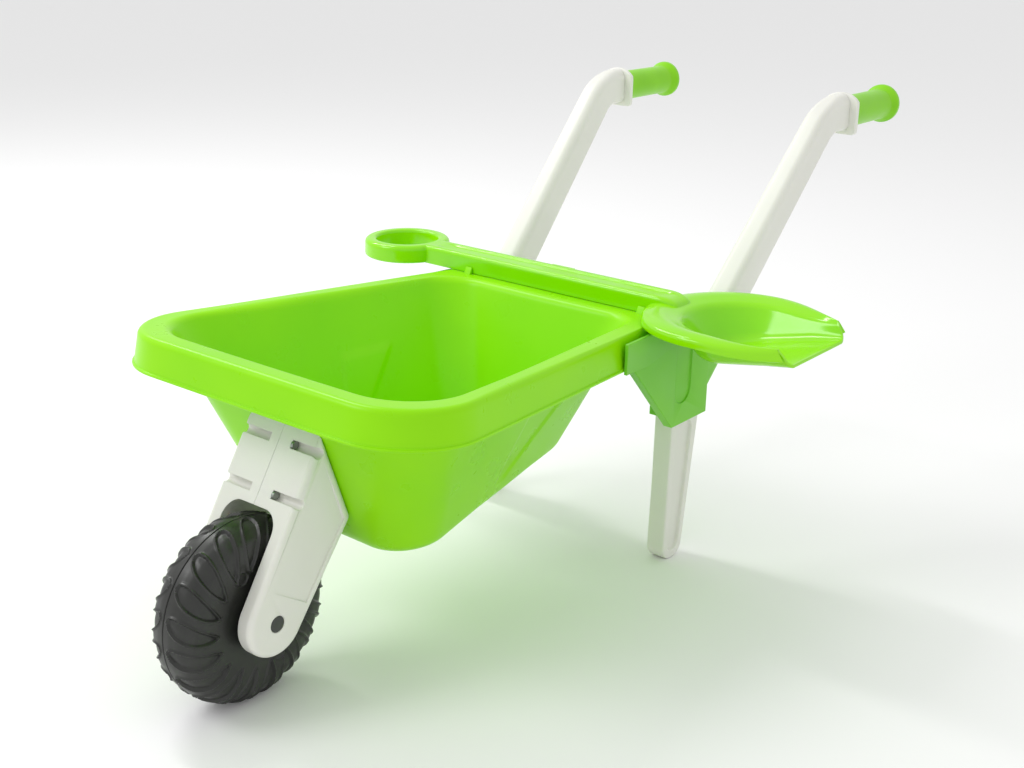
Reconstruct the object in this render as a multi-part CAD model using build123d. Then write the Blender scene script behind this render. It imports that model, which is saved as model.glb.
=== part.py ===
from build123d import *
import os
from math import cos, radians, sin, tan

# A child's moulded plastic wheelbarrow with a lift-off shovel across its rear rim.
# While it is built, Y = 0 is the axle, +Y runs back to the grips, X = 0 is the middle
# of the barrow and Z = 0 is the ground. At the end it is moved, so that the middle of its
# own box lies over the origin.

# wheel
wheel_radius = 71.0
wheel_half_width = 24.5
tread_half_width = 13.0
side_face_radius = 57.0
hub_radius = 12.0
hub_proud = 0.8
wheel_wall = 2.4
dish_depth = 4.0

# axle and its caps
axle_radius = 4.0
axle_clearance = 0.06
axle_seat_clearance = 0.02
cap_radius = 6.2
cap_thickness = 2.6
cap_recess = 2.2
cap_clearance = 0.2

# fork, moulded in two halves that meet at X = 0
wheel_side_gap = 2.2
arm_thickness = 13.0
arm_end_radius = 26.0
arch_gap = 4.5
arch_corner = 14.0
fork_wall = 3.0
fork_lean = 32.0
arm_rear_lean = 37.0
fork_knee_round = 6.0
fork_tray_gap = 0.3
fork_edge_round = 5.0
channel_radius = 4.0
channel_depth = 2.6
channel_wall = 2.0
channel_end_left = 13.0
channel_end_right = 9.0
upper_channel_drop = 35.3
lower_channel_drop = 67.8
fork_screw_reach = 7.5
fork_mount_x = 22.0
fork_mount_drop = 56.8
fork_mount_reach = 12.0
boss_radius = 5.0
pocket_depth = 2.4
pocket_above_axle = 20.0
pocket_border = 7.0

# tray rim: its lip is a tapered outline that falls towards the rear
rim_front_y = 9.0
rim_rear_y = 408.0
rim_lip_z = 222.8
rim_fall = 3.09
rim_front_half_width = 169.3
rim_rear_half_width = 117.4
rim_front_corner = 62.0
rim_rear_corner = 30.0
rim_height = 27.5
rim_draft = 3.5
rim_edge_round = 5.0
lip_proud = 1.5
lip_height = 2.4
tray_wall = 2.5

# tray basin
rim_band_front = 20.0
rim_band_side = 17.0
rim_band_rear = 53.0
opening_front_corner = 48.0
opening_rear_corner = 36.0
throat_round = 9.0
floor_behind_front = 81.0
floor_before_rear = 99.0
floor_depth = 123.3
floor_rise = 6.4
floor_front_inset = 86.3
floor_rear_inset = 60.4
floor_corner = 34.0
floor_round = 15.0

# handles, round-edged bars that bend level before their grips
handle_angle = 46.0
handle_behind_rim = 45.5
handle_above_lip = 15.2
handle_low_width = 25.0
handle_top_width = 20.0
handle_low_depth = 35.0
handle_top_depth = 31.0
handle_inside_rim = 3.4
handle_edge_round = 5.5
handle_insert = 75.0
bend_radius = 40.0
grip_spread = 12.8
grip_above_lip = 149.7
collar_behind_rim = 235.0
collar_thickness = 5.0
collar_half_width = 17.5
collar_half_height = 19.3
collar_dome_height = 9.6
collar_corner = 3.0
spigot_radius = 11.0
spigot_length = 78.0

# grips
grip_radius = 14.8
grip_flange_radius = 18.2
grip_flange_thickness = 6.0
grip_length = 88.0
grip_gap = 1.0
grip_flange_round = 2.0
grip_bore_clearance = 0.1

# legs
leg_width = 17.5
leg_inset = 5.0
leg_before_rim_rear = 24.5
leg_top_depth = 43.5
leg_low_depth = 29.0
leg_front_slant = 2.5
leg_pocket_depth = 3.0
leg_pocket_border = 5.0
leg_pocket_top = 3.0
tenon_height = 19.0
tenon_step = 3.0
tenon_side_step = 1.5
tenon_rear_step = 16.0

# brackets that hold the legs and handles under the rear corners of the rim
bracket_width = 33.5
bracket_outside_rim = 14.1
bracket_core_width = 26.0
bracket_depth = 85.8
bracket_front_low = 43.0
bracket_front_top = 107.0
bracket_rear = 12.0
bracket_core_rear = 21.5
bracket_rim_gap = 0.3
tab_front = 123.0
tab_rear = 8.0
tab_thickness = 3.0
tab_top_drop = 4.0
tab_below_lip = 2.0
sleeve_wall = 3.0
sleeve_top = 35.0
socket_clearance = 0.25
groove_width = 25.0
groove_depth = 1.5
groove_front = 41.5
groove_above_bottom = 19.0
groove_below_lip = 12.0
bracket_screw_inset = 7.4
bracket_screw_front = 58.0
bracket_screw_depth = 28.8
bracket_screw_length = 28.0
ear_front = 68.0
ear_inset = 5.0
core_front = 27.0
handle_screw_runs = [-46.0, -64.0]
handle_screw_length = 20.5
leg_screw_length = 18.5
screw_boss_step = 0.5

# screws
screw_radius = 1.8
screw_head_radius = 3.1
screw_head_height = 2.2
screw_clearance = 0.05
screw_tip_gap = 0.5

# shovel
shaft_before_rim_rear = 42.0
shaft_depth = 30.0
shaft_height = 16.5
shaft_left = 32.6
shaft_right = 6.6
shaft_round = 5.0
shovel_seat_gap = 0.3
shovel_wall = 2.4
ring_outside_rim = 69.4
ring_radius = 41.0
ring_hole_radius = 28.8
ring_round = 4.0
ring_hole_round = 3.0
scoop_outside_rim = 58.6
scoop_radius = 77.0
scoop_waist = 42.0
scoop_waist_half_width = 65.0
scoop_length = 65.0
scoop_overrun_half_width = 46.0
scoop_end_slant = 0.75
scoop_rim_above_lip = 18.2
scoop_rim_drop = 7.0
scoop_rim_round = 3.5
mouth_shift = 10.0
mouth_radius = 52.0
mouth_end_half_width = 47.0
scoop_floor_shift = 14.0
scoop_floor_radius = 38.0
scoop_floor_end_half_width = 42.0
scoop_depth = 30.0
scoop_floor_rise = 12.0
scoop_floor_round = 11.0
overrun = 25.0

# clips on the rear rim that keep the shovel in place
clip_inside_rim = 22.4
clip_width = 7.0
clip_depth = 4.5
clip_height = 8.0
rear_tab_x = -12.0
rear_tab_width = 26.0
rear_tab_depth = 4.0
rear_tab_height = 17.0
rear_tab_root = 7.0
clip_gap = 0.4

# cutting blocks reach this far past everything they cut
far = 600.0

# values that follow
axle_z = wheel_radius
floor_front_y = rim_front_y + floor_behind_front
floor_rear_y = rim_rear_y - floor_before_rear
floor_front_z = rim_lip_z - floor_depth
floor_front_half_width = rim_front_half_width - floor_front_inset
floor_rear_half_width = rim_rear_half_width - floor_rear_inset
handle_front_y = rim_rear_y + handle_behind_rim
handle_front_z = rim_lip_z + handle_above_lip
handle_low_x = rim_rear_half_width - handle_inside_rim
grip_x = handle_low_x + grip_spread
grip_axis_z = rim_lip_z + grip_above_lip
collar_y = rim_rear_y + collar_behind_rim
grip_end_y = collar_y + grip_gap + grip_length
bracket_outer_x = rim_rear_half_width + bracket_outside_rim
bracket_inner_x = bracket_outer_x - bracket_width
bracket_core_x = bracket_inner_x + bracket_core_width
bracket_bottom_z = rim_lip_z - bracket_depth
bracket_front_low_y = rim_rear_y - bracket_front_low
bracket_front_top_y = rim_rear_y - bracket_front_top
core_front_y = rim_rear_y - core_front
ear_front_y = rim_rear_y - ear_front
bracket_rear_y = rim_rear_y + bracket_rear
bracket_core_rear_y = rim_rear_y + bracket_core_rear
tab_front_y = rim_rear_y - tab_front
tab_rear_y = rim_rear_y - tab_rear
groove_front_y = rim_rear_y - groove_front
groove_bottom_z = bracket_bottom_z + groove_above_bottom
leg_outer_x = bracket_inner_x + leg_inset + leg_width
leg_front_top_y = rim_rear_y - leg_before_rim_rear
leg_front_low_y = leg_front_top_y - leg_front_slant
leg_rear_top_y = leg_front_top_y + leg_top_depth
leg_rear_low_y = leg_front_low_y + leg_low_depth
tenon_rear_y = leg_rear_top_y - tenon_rear_step
bracket_screw_x = rim_rear_half_width - bracket_screw_inset
bracket_screw_y = rim_rear_y - bracket_screw_front
bracket_screw_seat_z = rim_lip_z - bracket_screw_depth
bracket_screw_top_z = bracket_screw_seat_z + bracket_screw_length
shaft_front_y = rim_rear_y - shaft_before_rim_rear
shaft_left_x = -rim_rear_half_width - shaft_left
shaft_right_x = rim_rear_half_width + shaft_right
ring_x = -rim_rear_half_width - ring_outside_rim
scoop_x = rim_rear_half_width + scoop_outside_rim
scoop_waist_x = scoop_x + scoop_waist
scoop_end_x = scoop_x + scoop_length
scoop_rim_z = rim_lip_z + scoop_rim_above_lip
scoop_floor_z = scoop_rim_z - scoop_depth
mouth_x = scoop_x + mouth_shift
scoop_floor_x = scoop_x + scoop_floor_shift
clip_x = rim_rear_half_width - clip_inside_rim
upper_channel_z = rim_lip_z - upper_channel_drop
lower_channel_z = rim_lip_z - lower_channel_drop
fork_mount_z = rim_lip_z - fork_mount_drop
mouth_front = rim_draft + lip_proud + rim_band_front
arm_inner_x = wheel_half_width + wheel_side_gap
arm_outer_x = arm_inner_x + arm_thickness
arch_z = 2 * wheel_radius + arch_gap
axle_half_length = arm_outer_x - cap_recess
leg_foot_round = (leg_rear_low_y - leg_front_low_y) / 2 - 0.5
leg_screw_y = (leg_front_top_y + tenon_rear_y) / 2
leg_screw_z = bracket_bottom_z + tenon_height / 2
screw_hole_radius = screw_radius + screw_clearance
screw_seat_x = bracket_inner_x - screw_boss_step
handle_screw_tip_x = screw_seat_x + handle_screw_length
leg_screw_tip_x = screw_seat_x + leg_screw_length
rim_slope = tan(radians(rim_fall))
shaft_middle_y = shaft_front_y + shaft_depth / 2


def rim_top_z(y):
    """Height of the rim's top face over a point at this Y."""
    top = rim_lip_z + rim_height / cos(radians(rim_fall))
    return top - rim_slope * (y - rim_front_y)


def side_plate(points, x0, x1):
    """A plate whose outline is a list of (y, z) points, from X = x0 to x1."""
    return extrude(Plane.YZ.offset(x0) * Polygon(*points, align=None), amount=x1 - x0)


def side_prism(face, x0, x1):
    """A prism from X = x0 to x1, whose outline is a face drawn in (y, z)."""
    return extrude(Plane.YZ.offset(x0) * face, amount=x1 - x0, dir=(1, 0, 0))


def rod_x(x0, x1, y, z, radius):
    """A round rod along X."""
    length = x1 - x0
    return Location(((x0 + x1) / 2, y, z), (0, 90, 0)) * Cylinder(radius, length)


def rod_y(y0, y1, x, z, radius):
    """A round rod along Y."""
    return Location((x, (y0 + y1) / 2, z), (90, 0, 0)) * Cylinder(radius, y1 - y0)


def rod_z(z0, z1, x, y, radius):
    """A round rod along Z."""
    return Location((x, y, (z0 + z1) / 2)) * Cylinder(radius, z1 - z0)


def block(x0, x1, y0, y1, z0, z1):
    """A box between two corners."""
    middle = ((x0 + x1) / 2, (y0 + y1) / 2, (z0 + z1) / 2)
    return Location(middle) * Box(x1 - x0, y1 - y0, z1 - z0)


def mirrored(shape):
    """The same piece for the other side of the barrow."""
    return mirror(shape, about=Plane.YZ)


def tapered_outline(y0, y1, half0, half1, corner0, corner1, grow=0.0):
    """A four-sided outline, symmetric about X = 0, with its corners rounded."""
    ends = [(-half0, y0), (half0, y0), (half1, y1), (-half1, y1)]
    face = make_face(Polyline(*ends, close=True))
    corners = sorted(face.vertices(), key=lambda v: v.Y)
    face = fillet(corners[:2], corner0)
    rear = sorted(face.vertices(), key=lambda v: v.Y)[-2:]
    face = fillet(rear, corner1)
    if grow:
        face = offset(face, amount=grow, kind=Kind.ARC)
    return face


# ---- planes of the rim and the floor, both hinged on the front edge ----
def rim_plane(drop=0.0):
    """The plane of the rim's top face, or one parallel to it that is lower."""
    lean = radians(rim_fall)
    normal = Vector(0, sin(lean), cos(lean))
    top = Vector(0, rim_front_y, rim_top_z(rim_front_y))
    return Plane(origin=top - normal * drop, x_dir=(1, 0, 0), z_dir=normal)


def floor_plane(raise_by=0.0):
    """The plane of the basin's inner floor, which rises to the rear."""
    lean = radians(floor_rise)
    normal = Vector(0, -sin(lean), cos(lean))
    origin = Vector(0, floor_front_y, floor_front_z)
    return Plane(origin=origin + normal * raise_by, x_dir=(1, 0, 0), z_dir=normal)


def rim_outline(grow=0.0):
    """The lip's outline in the rim's plane, whose Y starts at the front of the lip."""
    length = (rim_rear_y - rim_front_y) / cos(radians(rim_fall))
    return tapered_outline(0, length, rim_front_half_width, rim_rear_half_width,
                           rim_front_corner, rim_rear_corner, grow)


def opening_outline(grow=0.0):
    """The basin's mouth in the rim's plane."""
    length = (rim_rear_y - rim_front_y) / cos(radians(rim_fall))
    taper = (rim_front_half_width - rim_rear_half_width) / length
    y0 = mouth_front
    y1 = length - rim_band_rear - lip_proud - rim_draft
    inset = lip_proud + rim_draft + rim_band_side
    half0 = rim_front_half_width - taper * y0 - inset
    half1 = rim_front_half_width - taper * y1 - inset
    return tapered_outline(y0, y1, half0, half1,
                           opening_front_corner, opening_rear_corner, grow)


def floor_outline(grow=0.0):
    """The basin's floor in its own plane."""
    length = (floor_rear_y - floor_front_y) / cos(radians(floor_rise))
    return tapered_outline(0, length, floor_front_half_width, floor_rear_half_width,
                           floor_corner, floor_corner * 0.8, grow)


def skirt_block(grow=0.0, low=0.0):
    """The rim as a solid block, drafted from its lip up to its top face."""
    top = rim_plane() * rim_outline(grow - lip_proud - rim_draft)
    bottom = rim_plane(rim_height + low) * rim_outline(grow - lip_proud)
    return loft([bottom, top], ruled=True)


def basin_block(grow=0.0, deep=0.0):
    """The basin as a solid block, from the rim's top face down to its floor."""
    top = rim_plane() * opening_outline(grow)
    bottom = floor_plane(-deep) * floor_outline(grow)
    block_ = loft([bottom, top], ruled=True)
    low_edges = block_.faces().sort_by(Axis.Z)[0].edges()
    return fillet(low_edges, floor_round + grow)


def fillet_loop(shape, plane, radius, pick):
    """Rounds the edges of a shape that lie in a plane and that pick() accepts."""
    edges = [e for e in shape.edges()
             if abs(plane.to_local_coords(e @ 0.5).Z) < 0.01
             and abs(plane.to_local_coords(e @ 0.0).Z) < 0.01 and pick(e)]
    return fillet(edges, radius)


def front_wall(depth):
    """Top and bottom (y, z) of the basin's front wall, that far outside its inner face."""
    top = rim_plane().from_local_coords((0, mouth_front - depth, 0))
    low = floor_plane(-depth).from_local_coords((0, -depth, 0))
    return (top.Y, top.Z), (low.Y, low.Z)


def point_at_z(line, z):
    """The Y of a (y, z) line at a given height."""
    (y0, z0), (y1, z1) = line
    return y0 + (y1 - y0) * (z - z0) / (z1 - z0)


def rod_along(start, direction, length, radius):
    """A round rod from a point, along a direction."""
    plane = Plane(origin=start, z_dir=direction)
    return plane * Pos(0, 0, length / 2) * Cylinder(radius, length)


def mount_screw_line(side):
    """Where a fork mounting screw's head sits inside the basin, and which way it points."""
    wall = front_wall(0)
    down = Vector(0, wall[1][0] - wall[0][0], wall[1][1] - wall[0][1]).normalized()
    direction = Vector(0, down.Z, -down.Y)
    seat = Vector(side * fork_mount_x, point_at_z(wall, fork_mount_z), fork_mount_z)
    return seat - direction * screw_clearance, direction


def mount_screw_hole(side, length):
    """The hole that a fork mounting screw needs."""
    seat, direction = mount_screw_line(side)
    return rod_along(seat - direction, direction, length + 1, screw_hole_radius)


def make_tray():
    """Rim, skirt, basin, the clips for the shovel and two screw posts, in one moulding."""
    mouth = opening_outline().faces()[0].outer_wire()

    def in_mouth(edge):
        local = rim_plane().to_local_coords(edge @ 0.5)
        return mouth.distance_to(Vertex(local.X, local.Y, 0)) < 0.5

    outer = skirt_block() + basin_block(tray_wall, tray_wall)
    lip = extrude(rim_plane(rim_height) * rim_outline(), amount=lip_height)
    outer = outer + (lip - basin_block(tray_wall, tray_wall)) - basin_block()
    outer = fillet_loop(outer, rim_plane(), throat_round, in_mouth)
    outer = fillet_loop(outer, rim_plane(), rim_edge_round, lambda e: not in_mouth(e))
    inner_top = rim_plane(tray_wall) * rim_outline(-lip_proud - rim_draft - tray_wall)
    inner_low = rim_plane(rim_height + 1) * rim_outline(-lip_proud - tray_wall)
    hollow = loft([inner_low, inner_top], ruled=True) - basin_block(tray_wall, tray_wall)
    hollow = fillet_loop(hollow, rim_plane(tray_wall), rim_edge_round - tray_wall,
                         lambda e: True)
    tray = outer - hollow
    low = shaft_front_y - clip_gap
    for side in (-1, 1):
        seat = rim_top_z(low) - 1
        points = [(low - clip_depth, seat), (low, seat), (low, seat + 1 + clip_height)]
        tray += side_plate(points, side * clip_x - clip_width / 2,
                           side * clip_x + clip_width / 2)
    back = shaft_front_y + shaft_depth + clip_gap
    tray += block(rear_tab_x - rear_tab_width / 2, rear_tab_x + rear_tab_width / 2,
                  back, back + rear_tab_depth, rim_top_z(back) - rear_tab_root,
                  rim_top_z(back) + rear_tab_height)
    post_low = rim_plane(rim_height).origin.Z - rim_slope * (bracket_screw_y - rim_front_y)
    post_top = rim_top_z(bracket_screw_y) - tray_wall / 2
    for side in (-1, 1):
        x = side * bracket_screw_x
        tray += rod_z(post_low, post_top, x, bracket_screw_y, boss_radius)
        tray -= rod_z(post_low - 1, bracket_screw_top_z + screw_tip_gap, x, bracket_screw_y,
                      screw_hole_radius)
        tray -= mount_screw_hole(side, 5)
    return tray


# ---- handles, grips and legs ----
handle_lean = radians(handle_angle)
handle_along = Vector(0, cos(handle_lean), sin(handle_lean))
handle_normal = Vector(0, -sin(handle_lean), cos(handle_lean))
handle_start_y = handle_front_y + handle_low_depth / 2 * sin(handle_lean)
handle_start_z = handle_front_z - handle_low_depth / 2 * cos(handle_lean)
corner_run = (grip_axis_z - handle_start_z) / sin(handle_lean)
bend_run = bend_radius * tan(handle_lean / 2)
corner_y = handle_start_y + corner_run * cos(handle_lean)


def handle_place(run):
    """Middle point and direction of the handle at a distance along it, at X = 0."""
    arc_start = corner_run - bend_run
    arc_end = arc_start + bend_radius * handle_lean
    start = Vector(0, handle_start_y, handle_start_z)
    if run <= arc_start:
        return start + handle_along * run, handle_lean
    if run <= arc_end:
        turned = (run - arc_start) / bend_radius
        centre = start + handle_along * arc_start - handle_normal * bend_radius
        lean = handle_lean - turned
        return centre + Vector(0, -sin(lean), cos(lean)) * bend_radius, lean
    level = start + handle_along * corner_run + Vector(0, bend_run + run - arc_end, 0)
    return level, 0.0


def handle_total_run():
    """The handle's length along its middle, from the start line to the collar."""
    arc_end = corner_run - bend_run + bend_radius * handle_lean
    return arc_end + collar_y - collar_thickness - corner_y - bend_run


def handle_section(run, grow=0.0):
    """The rounded rectangle that the handle has at a distance along it."""
    share = (run + handle_insert) / (handle_total_run() + handle_insert)
    wide = handle_low_width + (handle_top_width - handle_low_width) * share
    deep = handle_low_depth + (handle_top_depth - handle_low_depth) * share
    place, lean = handle_place(run)
    middle_x = handle_low_x + (grip_x - handle_low_x) * share
    plane = Plane(origin=(middle_x, place.Y, place.Z), x_dir=(1, 0, 0),
                  z_dir=(0, cos(lean), sin(lean)))
    return plane * RectangleRounded(wide + 2 * grow, deep + 2 * grow,
                                    handle_edge_round + grow)


def collar_face():
    """The collar's outline: square below and domed above."""
    wide = collar_half_width
    side_top = collar_half_height - collar_dome_height
    outline = Polyline((wide, side_top), (wide, -collar_half_height),
                       (-wide, -collar_half_height), (-wide, side_top))
    dome = ThreePointArc((-wide, side_top), (0, collar_half_height), (wide, side_top))
    face = make_face(outline + dome)
    low = face.vertices().sort_by(Axis.Y)[:2]
    return fillet(low, collar_corner)


def make_handle():
    """A bent bar with a collar and the spigot that the grip is pushed on."""
    arc_start = corner_run - bend_run
    arc_length = bend_radius * handle_lean
    straight = [-handle_insert, arc_start * 0.5, arc_start]
    bend = [arc_start + arc_length * i / 5 for i in range(1, 6)]
    runs = straight + bend + [handle_total_run()]
    bar = loft([handle_section(run) for run in runs], ruled=True)
    collar_plane = Plane(origin=(grip_x, collar_y, grip_axis_z), x_dir=(-1, 0, 0),
                         z_dir=(0, 1, 0))
    collar = extrude(collar_plane * collar_face(), amount=-collar_thickness)
    spigot = rod_y(collar_y - 1, collar_y + spigot_length, grip_x, grip_axis_z,
                   spigot_radius)
    handle = bar + collar + spigot
    for run in handle_screw_runs:
        place, lean = handle_place(run)
        handle -= rod_x(screw_seat_x, handle_screw_tip_x + screw_tip_gap, place.Y, place.Z,
                        screw_hole_radius)
    return handle


def make_grip():
    """A tube with an end flange and a closed end, hollow for the spigot."""
    start = collar_y + grip_gap
    tube = rod_y(start, grip_end_y - 1, grip_x, grip_axis_z, grip_radius)
    flange = rod_y(grip_end_y - grip_flange_thickness, grip_end_y, grip_x, grip_axis_z,
                   grip_flange_radius)
    flange = fillet(flange.edges().filter_by(GeomType.CIRCLE), grip_flange_round)
    bore_end = collar_y + spigot_length + 0.5
    bore = rod_y(start - 1, bore_end, grip_x, grip_axis_z,
                 spigot_radius + grip_bore_clearance)
    return tube + flange - bore


def make_leg():
    """A bar that narrows to a rounded foot, with a long pocket and a tenon on top."""
    top = bracket_bottom_z
    inner = leg_outer_x - leg_width
    points = [(leg_front_low_y, 0), (leg_rear_low_y, 0), (leg_rear_top_y, top),
              (leg_front_top_y, top)]
    leg = side_plate(points, inner, leg_outer_x)
    foot = [e for e in leg.edges().filter_by(Axis.X) if e.center().Z < 1]
    leg = fillet(foot, leg_foot_round)
    border = leg_pocket_border
    pocket = [(leg_front_low_y + border, 2 * border), (leg_rear_low_y - border, 2 * border),
              (leg_rear_top_y - border, top - leg_pocket_top),
              (leg_front_top_y + border, top - leg_pocket_top)]
    leg -= side_plate(pocket, leg_outer_x - leg_pocket_depth, leg_outer_x + 1)
    leg += block(inner + tenon_side_step, leg_outer_x - tenon_side_step,
                 leg_front_top_y + tenon_step, tenon_rear_y, top - 1, top + tenon_height)
    leg -= rod_x(screw_seat_x, leg_screw_tip_x + screw_tip_gap, leg_screw_y, leg_screw_z,
                 screw_hole_radius)
    return leg


# ---- brackets ----
def under_rim(y):
    """Height of what lies just under the rim's lip at this Y."""
    low_rim = rim_plane(rim_height + bracket_rim_gap)
    return low_rim.origin.Z - rim_slope * (y - low_rim.origin.Y)


def under_rim_plate(front_top_y, front_low_y, rear_y, low_z, x0, x1):
    """A plate that hangs under the rim's lip, with a sloping or upright front."""
    points = [(front_top_y, under_rim(front_top_y)), (front_low_y, low_z),
              (rear_y, low_z), (rear_y, under_rim(rear_y))]
    return side_plate(points, x0, x1)


def rim_hull(grow):
    """The lip's outline as a tall prism, for what lies along the skirt."""
    return extrude(rim_plane(far) * rim_outline(grow), amount=2 * far)


def make_bracket():
    """Block with sockets for the leg and the handle, and a tab that hugs the skirt."""
    core = under_rim_plate(core_front_y, core_front_y, bracket_core_rear_y,
                           bracket_bottom_z, bracket_inner_x, bracket_core_x)
    ear = under_rim_plate(ear_front_y, ear_front_y, core_front_y + 1,
                          bracket_screw_seat_z, bracket_inner_x + ear_inset, bracket_core_x)
    panel = under_rim_plate(bracket_front_top_y, bracket_front_low_y, bracket_rear_y,
                            bracket_bottom_z, bracket_core_x - 1, bracket_outer_x)
    bracket = core + ear + panel
    sleeve_runs = [-handle_insert - sleeve_wall, -sleeve_top]
    sleeve = loft([handle_section(run, sleeve_wall) for run in sleeve_runs], ruled=True)
    bracket += sleeve
    tab = rim_hull(tab_thickness + bracket_rim_gap) - rim_hull(bracket_rim_gap)
    tab &= block(0, far, tab_front_y, tab_rear_y, bracket_bottom_z, far)
    upper_panel = block(bracket_core_x - 1, bracket_outer_x, bracket_front_top_y,
                        bracket_rear_y, bracket_bottom_z, far)
    tab += upper_panel - rim_hull(bracket_rim_gap)
    tab -= extrude(rim_plane(tab_top_drop) * Rectangle(2 * far, 2 * far), amount=far)
    tab_low = rim_plane(rim_height + tab_below_lip)
    tab -= extrude(tab_low * Rectangle(2 * far, 2 * far), amount=-far)
    bracket += tab
    bracket -= basin_block(tray_wall + bracket_rim_gap, tray_wall + bracket_rim_gap)
    runs = [-handle_insert, 0]
    bracket -= loft([handle_section(run, socket_clearance) for run in runs], ruled=True)
    gap = socket_clearance
    inner = leg_outer_x - leg_width
    bracket -= block(inner + tenon_side_step - gap, leg_outer_x - tenon_side_step + gap,
                     leg_front_top_y + tenon_step - gap, tenon_rear_y + gap,
                     bracket_bottom_z - 1, bracket_bottom_z + tenon_height + gap)
    rear = groove_front_y + groove_width
    half = groove_width / 2
    middle = (groove_front_y + rear) / 2
    under = [(groove_front_y, groove_bottom_z + half), (rear, groove_bottom_z + half),
             (rear, rim_lip_z - groove_below_lip), (groove_front_y, rim_lip_z - groove_below_lip)]
    groove = side_plate(under, bracket_outer_x - groove_depth, bracket_outer_x + 1)
    groove += rod_x(bracket_outer_x - groove_depth, bracket_outer_x + 1, middle,
                    groove_bottom_z + half, half)
    bracket -= groove
    screw_places = [(leg_screw_y, leg_screw_z, leg_screw_tip_x)]
    for run in handle_screw_runs:
        place, lean = handle_place(run)
        screw_places.append((place.Y, place.Z, handle_screw_tip_x))
    for y, z, tip_x in screw_places:
        bracket += rod_x(screw_seat_x, bracket_inner_x + 2, y, z, boss_radius)
        bracket -= rod_x(screw_seat_x - 1, tip_x + screw_tip_gap, y, z, screw_hole_radius)
    bracket -= rod_z(0, bracket_screw_top_z, bracket_screw_x, bracket_screw_y,
                     screw_hole_radius)
    return bracket


# ---- fork, wheel and axle ----
def meet(first, second):
    """Where two (y, z) lines cross."""
    (ay, az), (by, bz) = first
    (cy, cz), (dy, dz) = second
    cross = (by - ay) * (dz - cz) - (bz - az) * (dy - cy)
    share = ((cy - ay) * (dz - cz) - (cz - az) * (dy - cy)) / cross
    return ay + share * (by - ay), az + share * (bz - az)


def arm_line(lean, side):
    """A line that leans back by an angle and touches the rounded end of the arm."""
    lean = radians(lean)
    y = side * arm_end_radius * cos(lean)
    z = axle_z - side * arm_end_radius * sin(lean)
    return (y, z), (y + 100 * sin(lean), z + 100 * cos(lean))


fork_front = arm_line(fork_lean, -1)
fork_rear = arm_line(arm_rear_lean, 1)
fork_wall_line = front_wall(tray_wall + fork_tray_gap)


def fork_outline():
    """The fork seen from the side: a wedge under the basin's front wall, then an arm."""
    apex = meet(fork_front, fork_wall_line)
    knee = meet(fork_rear, fork_wall_line)
    bottom = (0, axle_z - arm_end_radius)
    outline = Polyline(fork_front[0], apex, knee, fork_rear[0])
    outline += ThreePointArc(fork_rear[0], bottom, fork_front[0])
    face = make_face(outline)
    corner = face.vertices().sort_by_distance((*knee, 0))[0]
    return fillet(corner, fork_knee_round)


def channel_centre(z):
    """The (y, z) of a screw channel that is sunk in the fork's front face."""
    lean = radians(fork_lean)
    face_y = point_at_z(fork_front, z + channel_depth * sin(lean))
    return face_y + channel_depth * cos(lean), z


def side_pocket(outline):
    """A recess in the arm's side, flush along its front and deepest along its rear."""
    lean = radians(fork_lean)
    along = Plane(origin=(0, 0, axle_z), x_dir=(0, cos(lean), -sin(lean)),
                  z_dir=(0, sin(lean), cos(lean)))
    front = -arm_end_radius + pocket_border
    slope = pocket_depth / (2 * arm_end_radius)
    deepest = arm_outer_x - pocket_depth - slope * arm_end_radius
    wedge = Polygon((front, -arm_outer_x), (3 * arm_end_radius - pocket_border, -deepest),
                    (3 * arm_end_radius - pocket_border, -arm_outer_x - 1),
                    (front, -arm_outer_x - 1), align=None)
    recess = extrude(along * Pos(0, 0, pocket_above_axle) * wedge, amount=far,
                     dir=along.z_dir)
    inside = offset(outline, amount=-pocket_border, kind=Kind.INTERSECTION)
    return recess & side_prism(inside, 0, arm_outer_x + 1)


def make_fork(channel_end, hole_end):
    """Half of the fork, open at X = 0, with an arm beside the wheel."""
    outline = fork_outline()
    plate = side_prism(outline, 0, arm_outer_x)
    shell = fillet(plate.edges().filter_by(is_arm_edge), fork_edge_round)
    inner = offset(outline, amount=-fork_wall, kind=Kind.INTERSECTION)
    hollow = side_prism(inner, -1, arm_outer_x - fork_wall)
    hollow &= block(-1, arm_outer_x, -far, far, arch_z + fork_wall, far)
    bosses = []
    for z in (upper_channel_z, lower_channel_z):
        y, z = channel_centre(z)
        bosses.append(rod_x(0, arm_outer_x, y, z, channel_radius + channel_wall))
    seat, direction = mount_screw_line(1)
    bosses.append(rod_along(seat, direction, fork_mount_reach + 4, boss_radius))
    for boss in bosses:
        hollow -= boss
    fork = shell - hollow
    arch = block(-1, arm_inner_x, -far, far, -1, arch_z)
    top = [e for e in arch.edges().filter_by(Axis.Y)
           if e.center().X > 0 and e.center().Z > 0]
    fork -= fillet(top, arch_corner)
    for z in (upper_channel_z, lower_channel_z):
        y, z = channel_centre(z)
        fork -= rod_x(channel_end, arm_outer_x + 1, y, z, channel_radius)
        fork -= rod_x(-1, hole_end, y, z, screw_hole_radius)
    fork -= mount_screw_hole(1, fork_mount_reach + screw_tip_gap)
    fork -= rod_x(0, arm_outer_x + 1, 0, axle_z, axle_radius + axle_seat_clearance)
    fork -= rod_x(axle_half_length, arm_outer_x + 1, 0, axle_z, cap_radius + cap_clearance)
    return fork - side_pocket(outline)


def is_arm_edge(edge):
    """Picks the outer edges of the fork, but not the one along the basin's wall."""
    middle = edge.center()
    along_wall = abs(middle.Y - point_at_z(fork_wall_line, middle.Z)) < 4
    return abs(middle.X - arm_outer_x) < 0.01 and not along_wall


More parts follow.
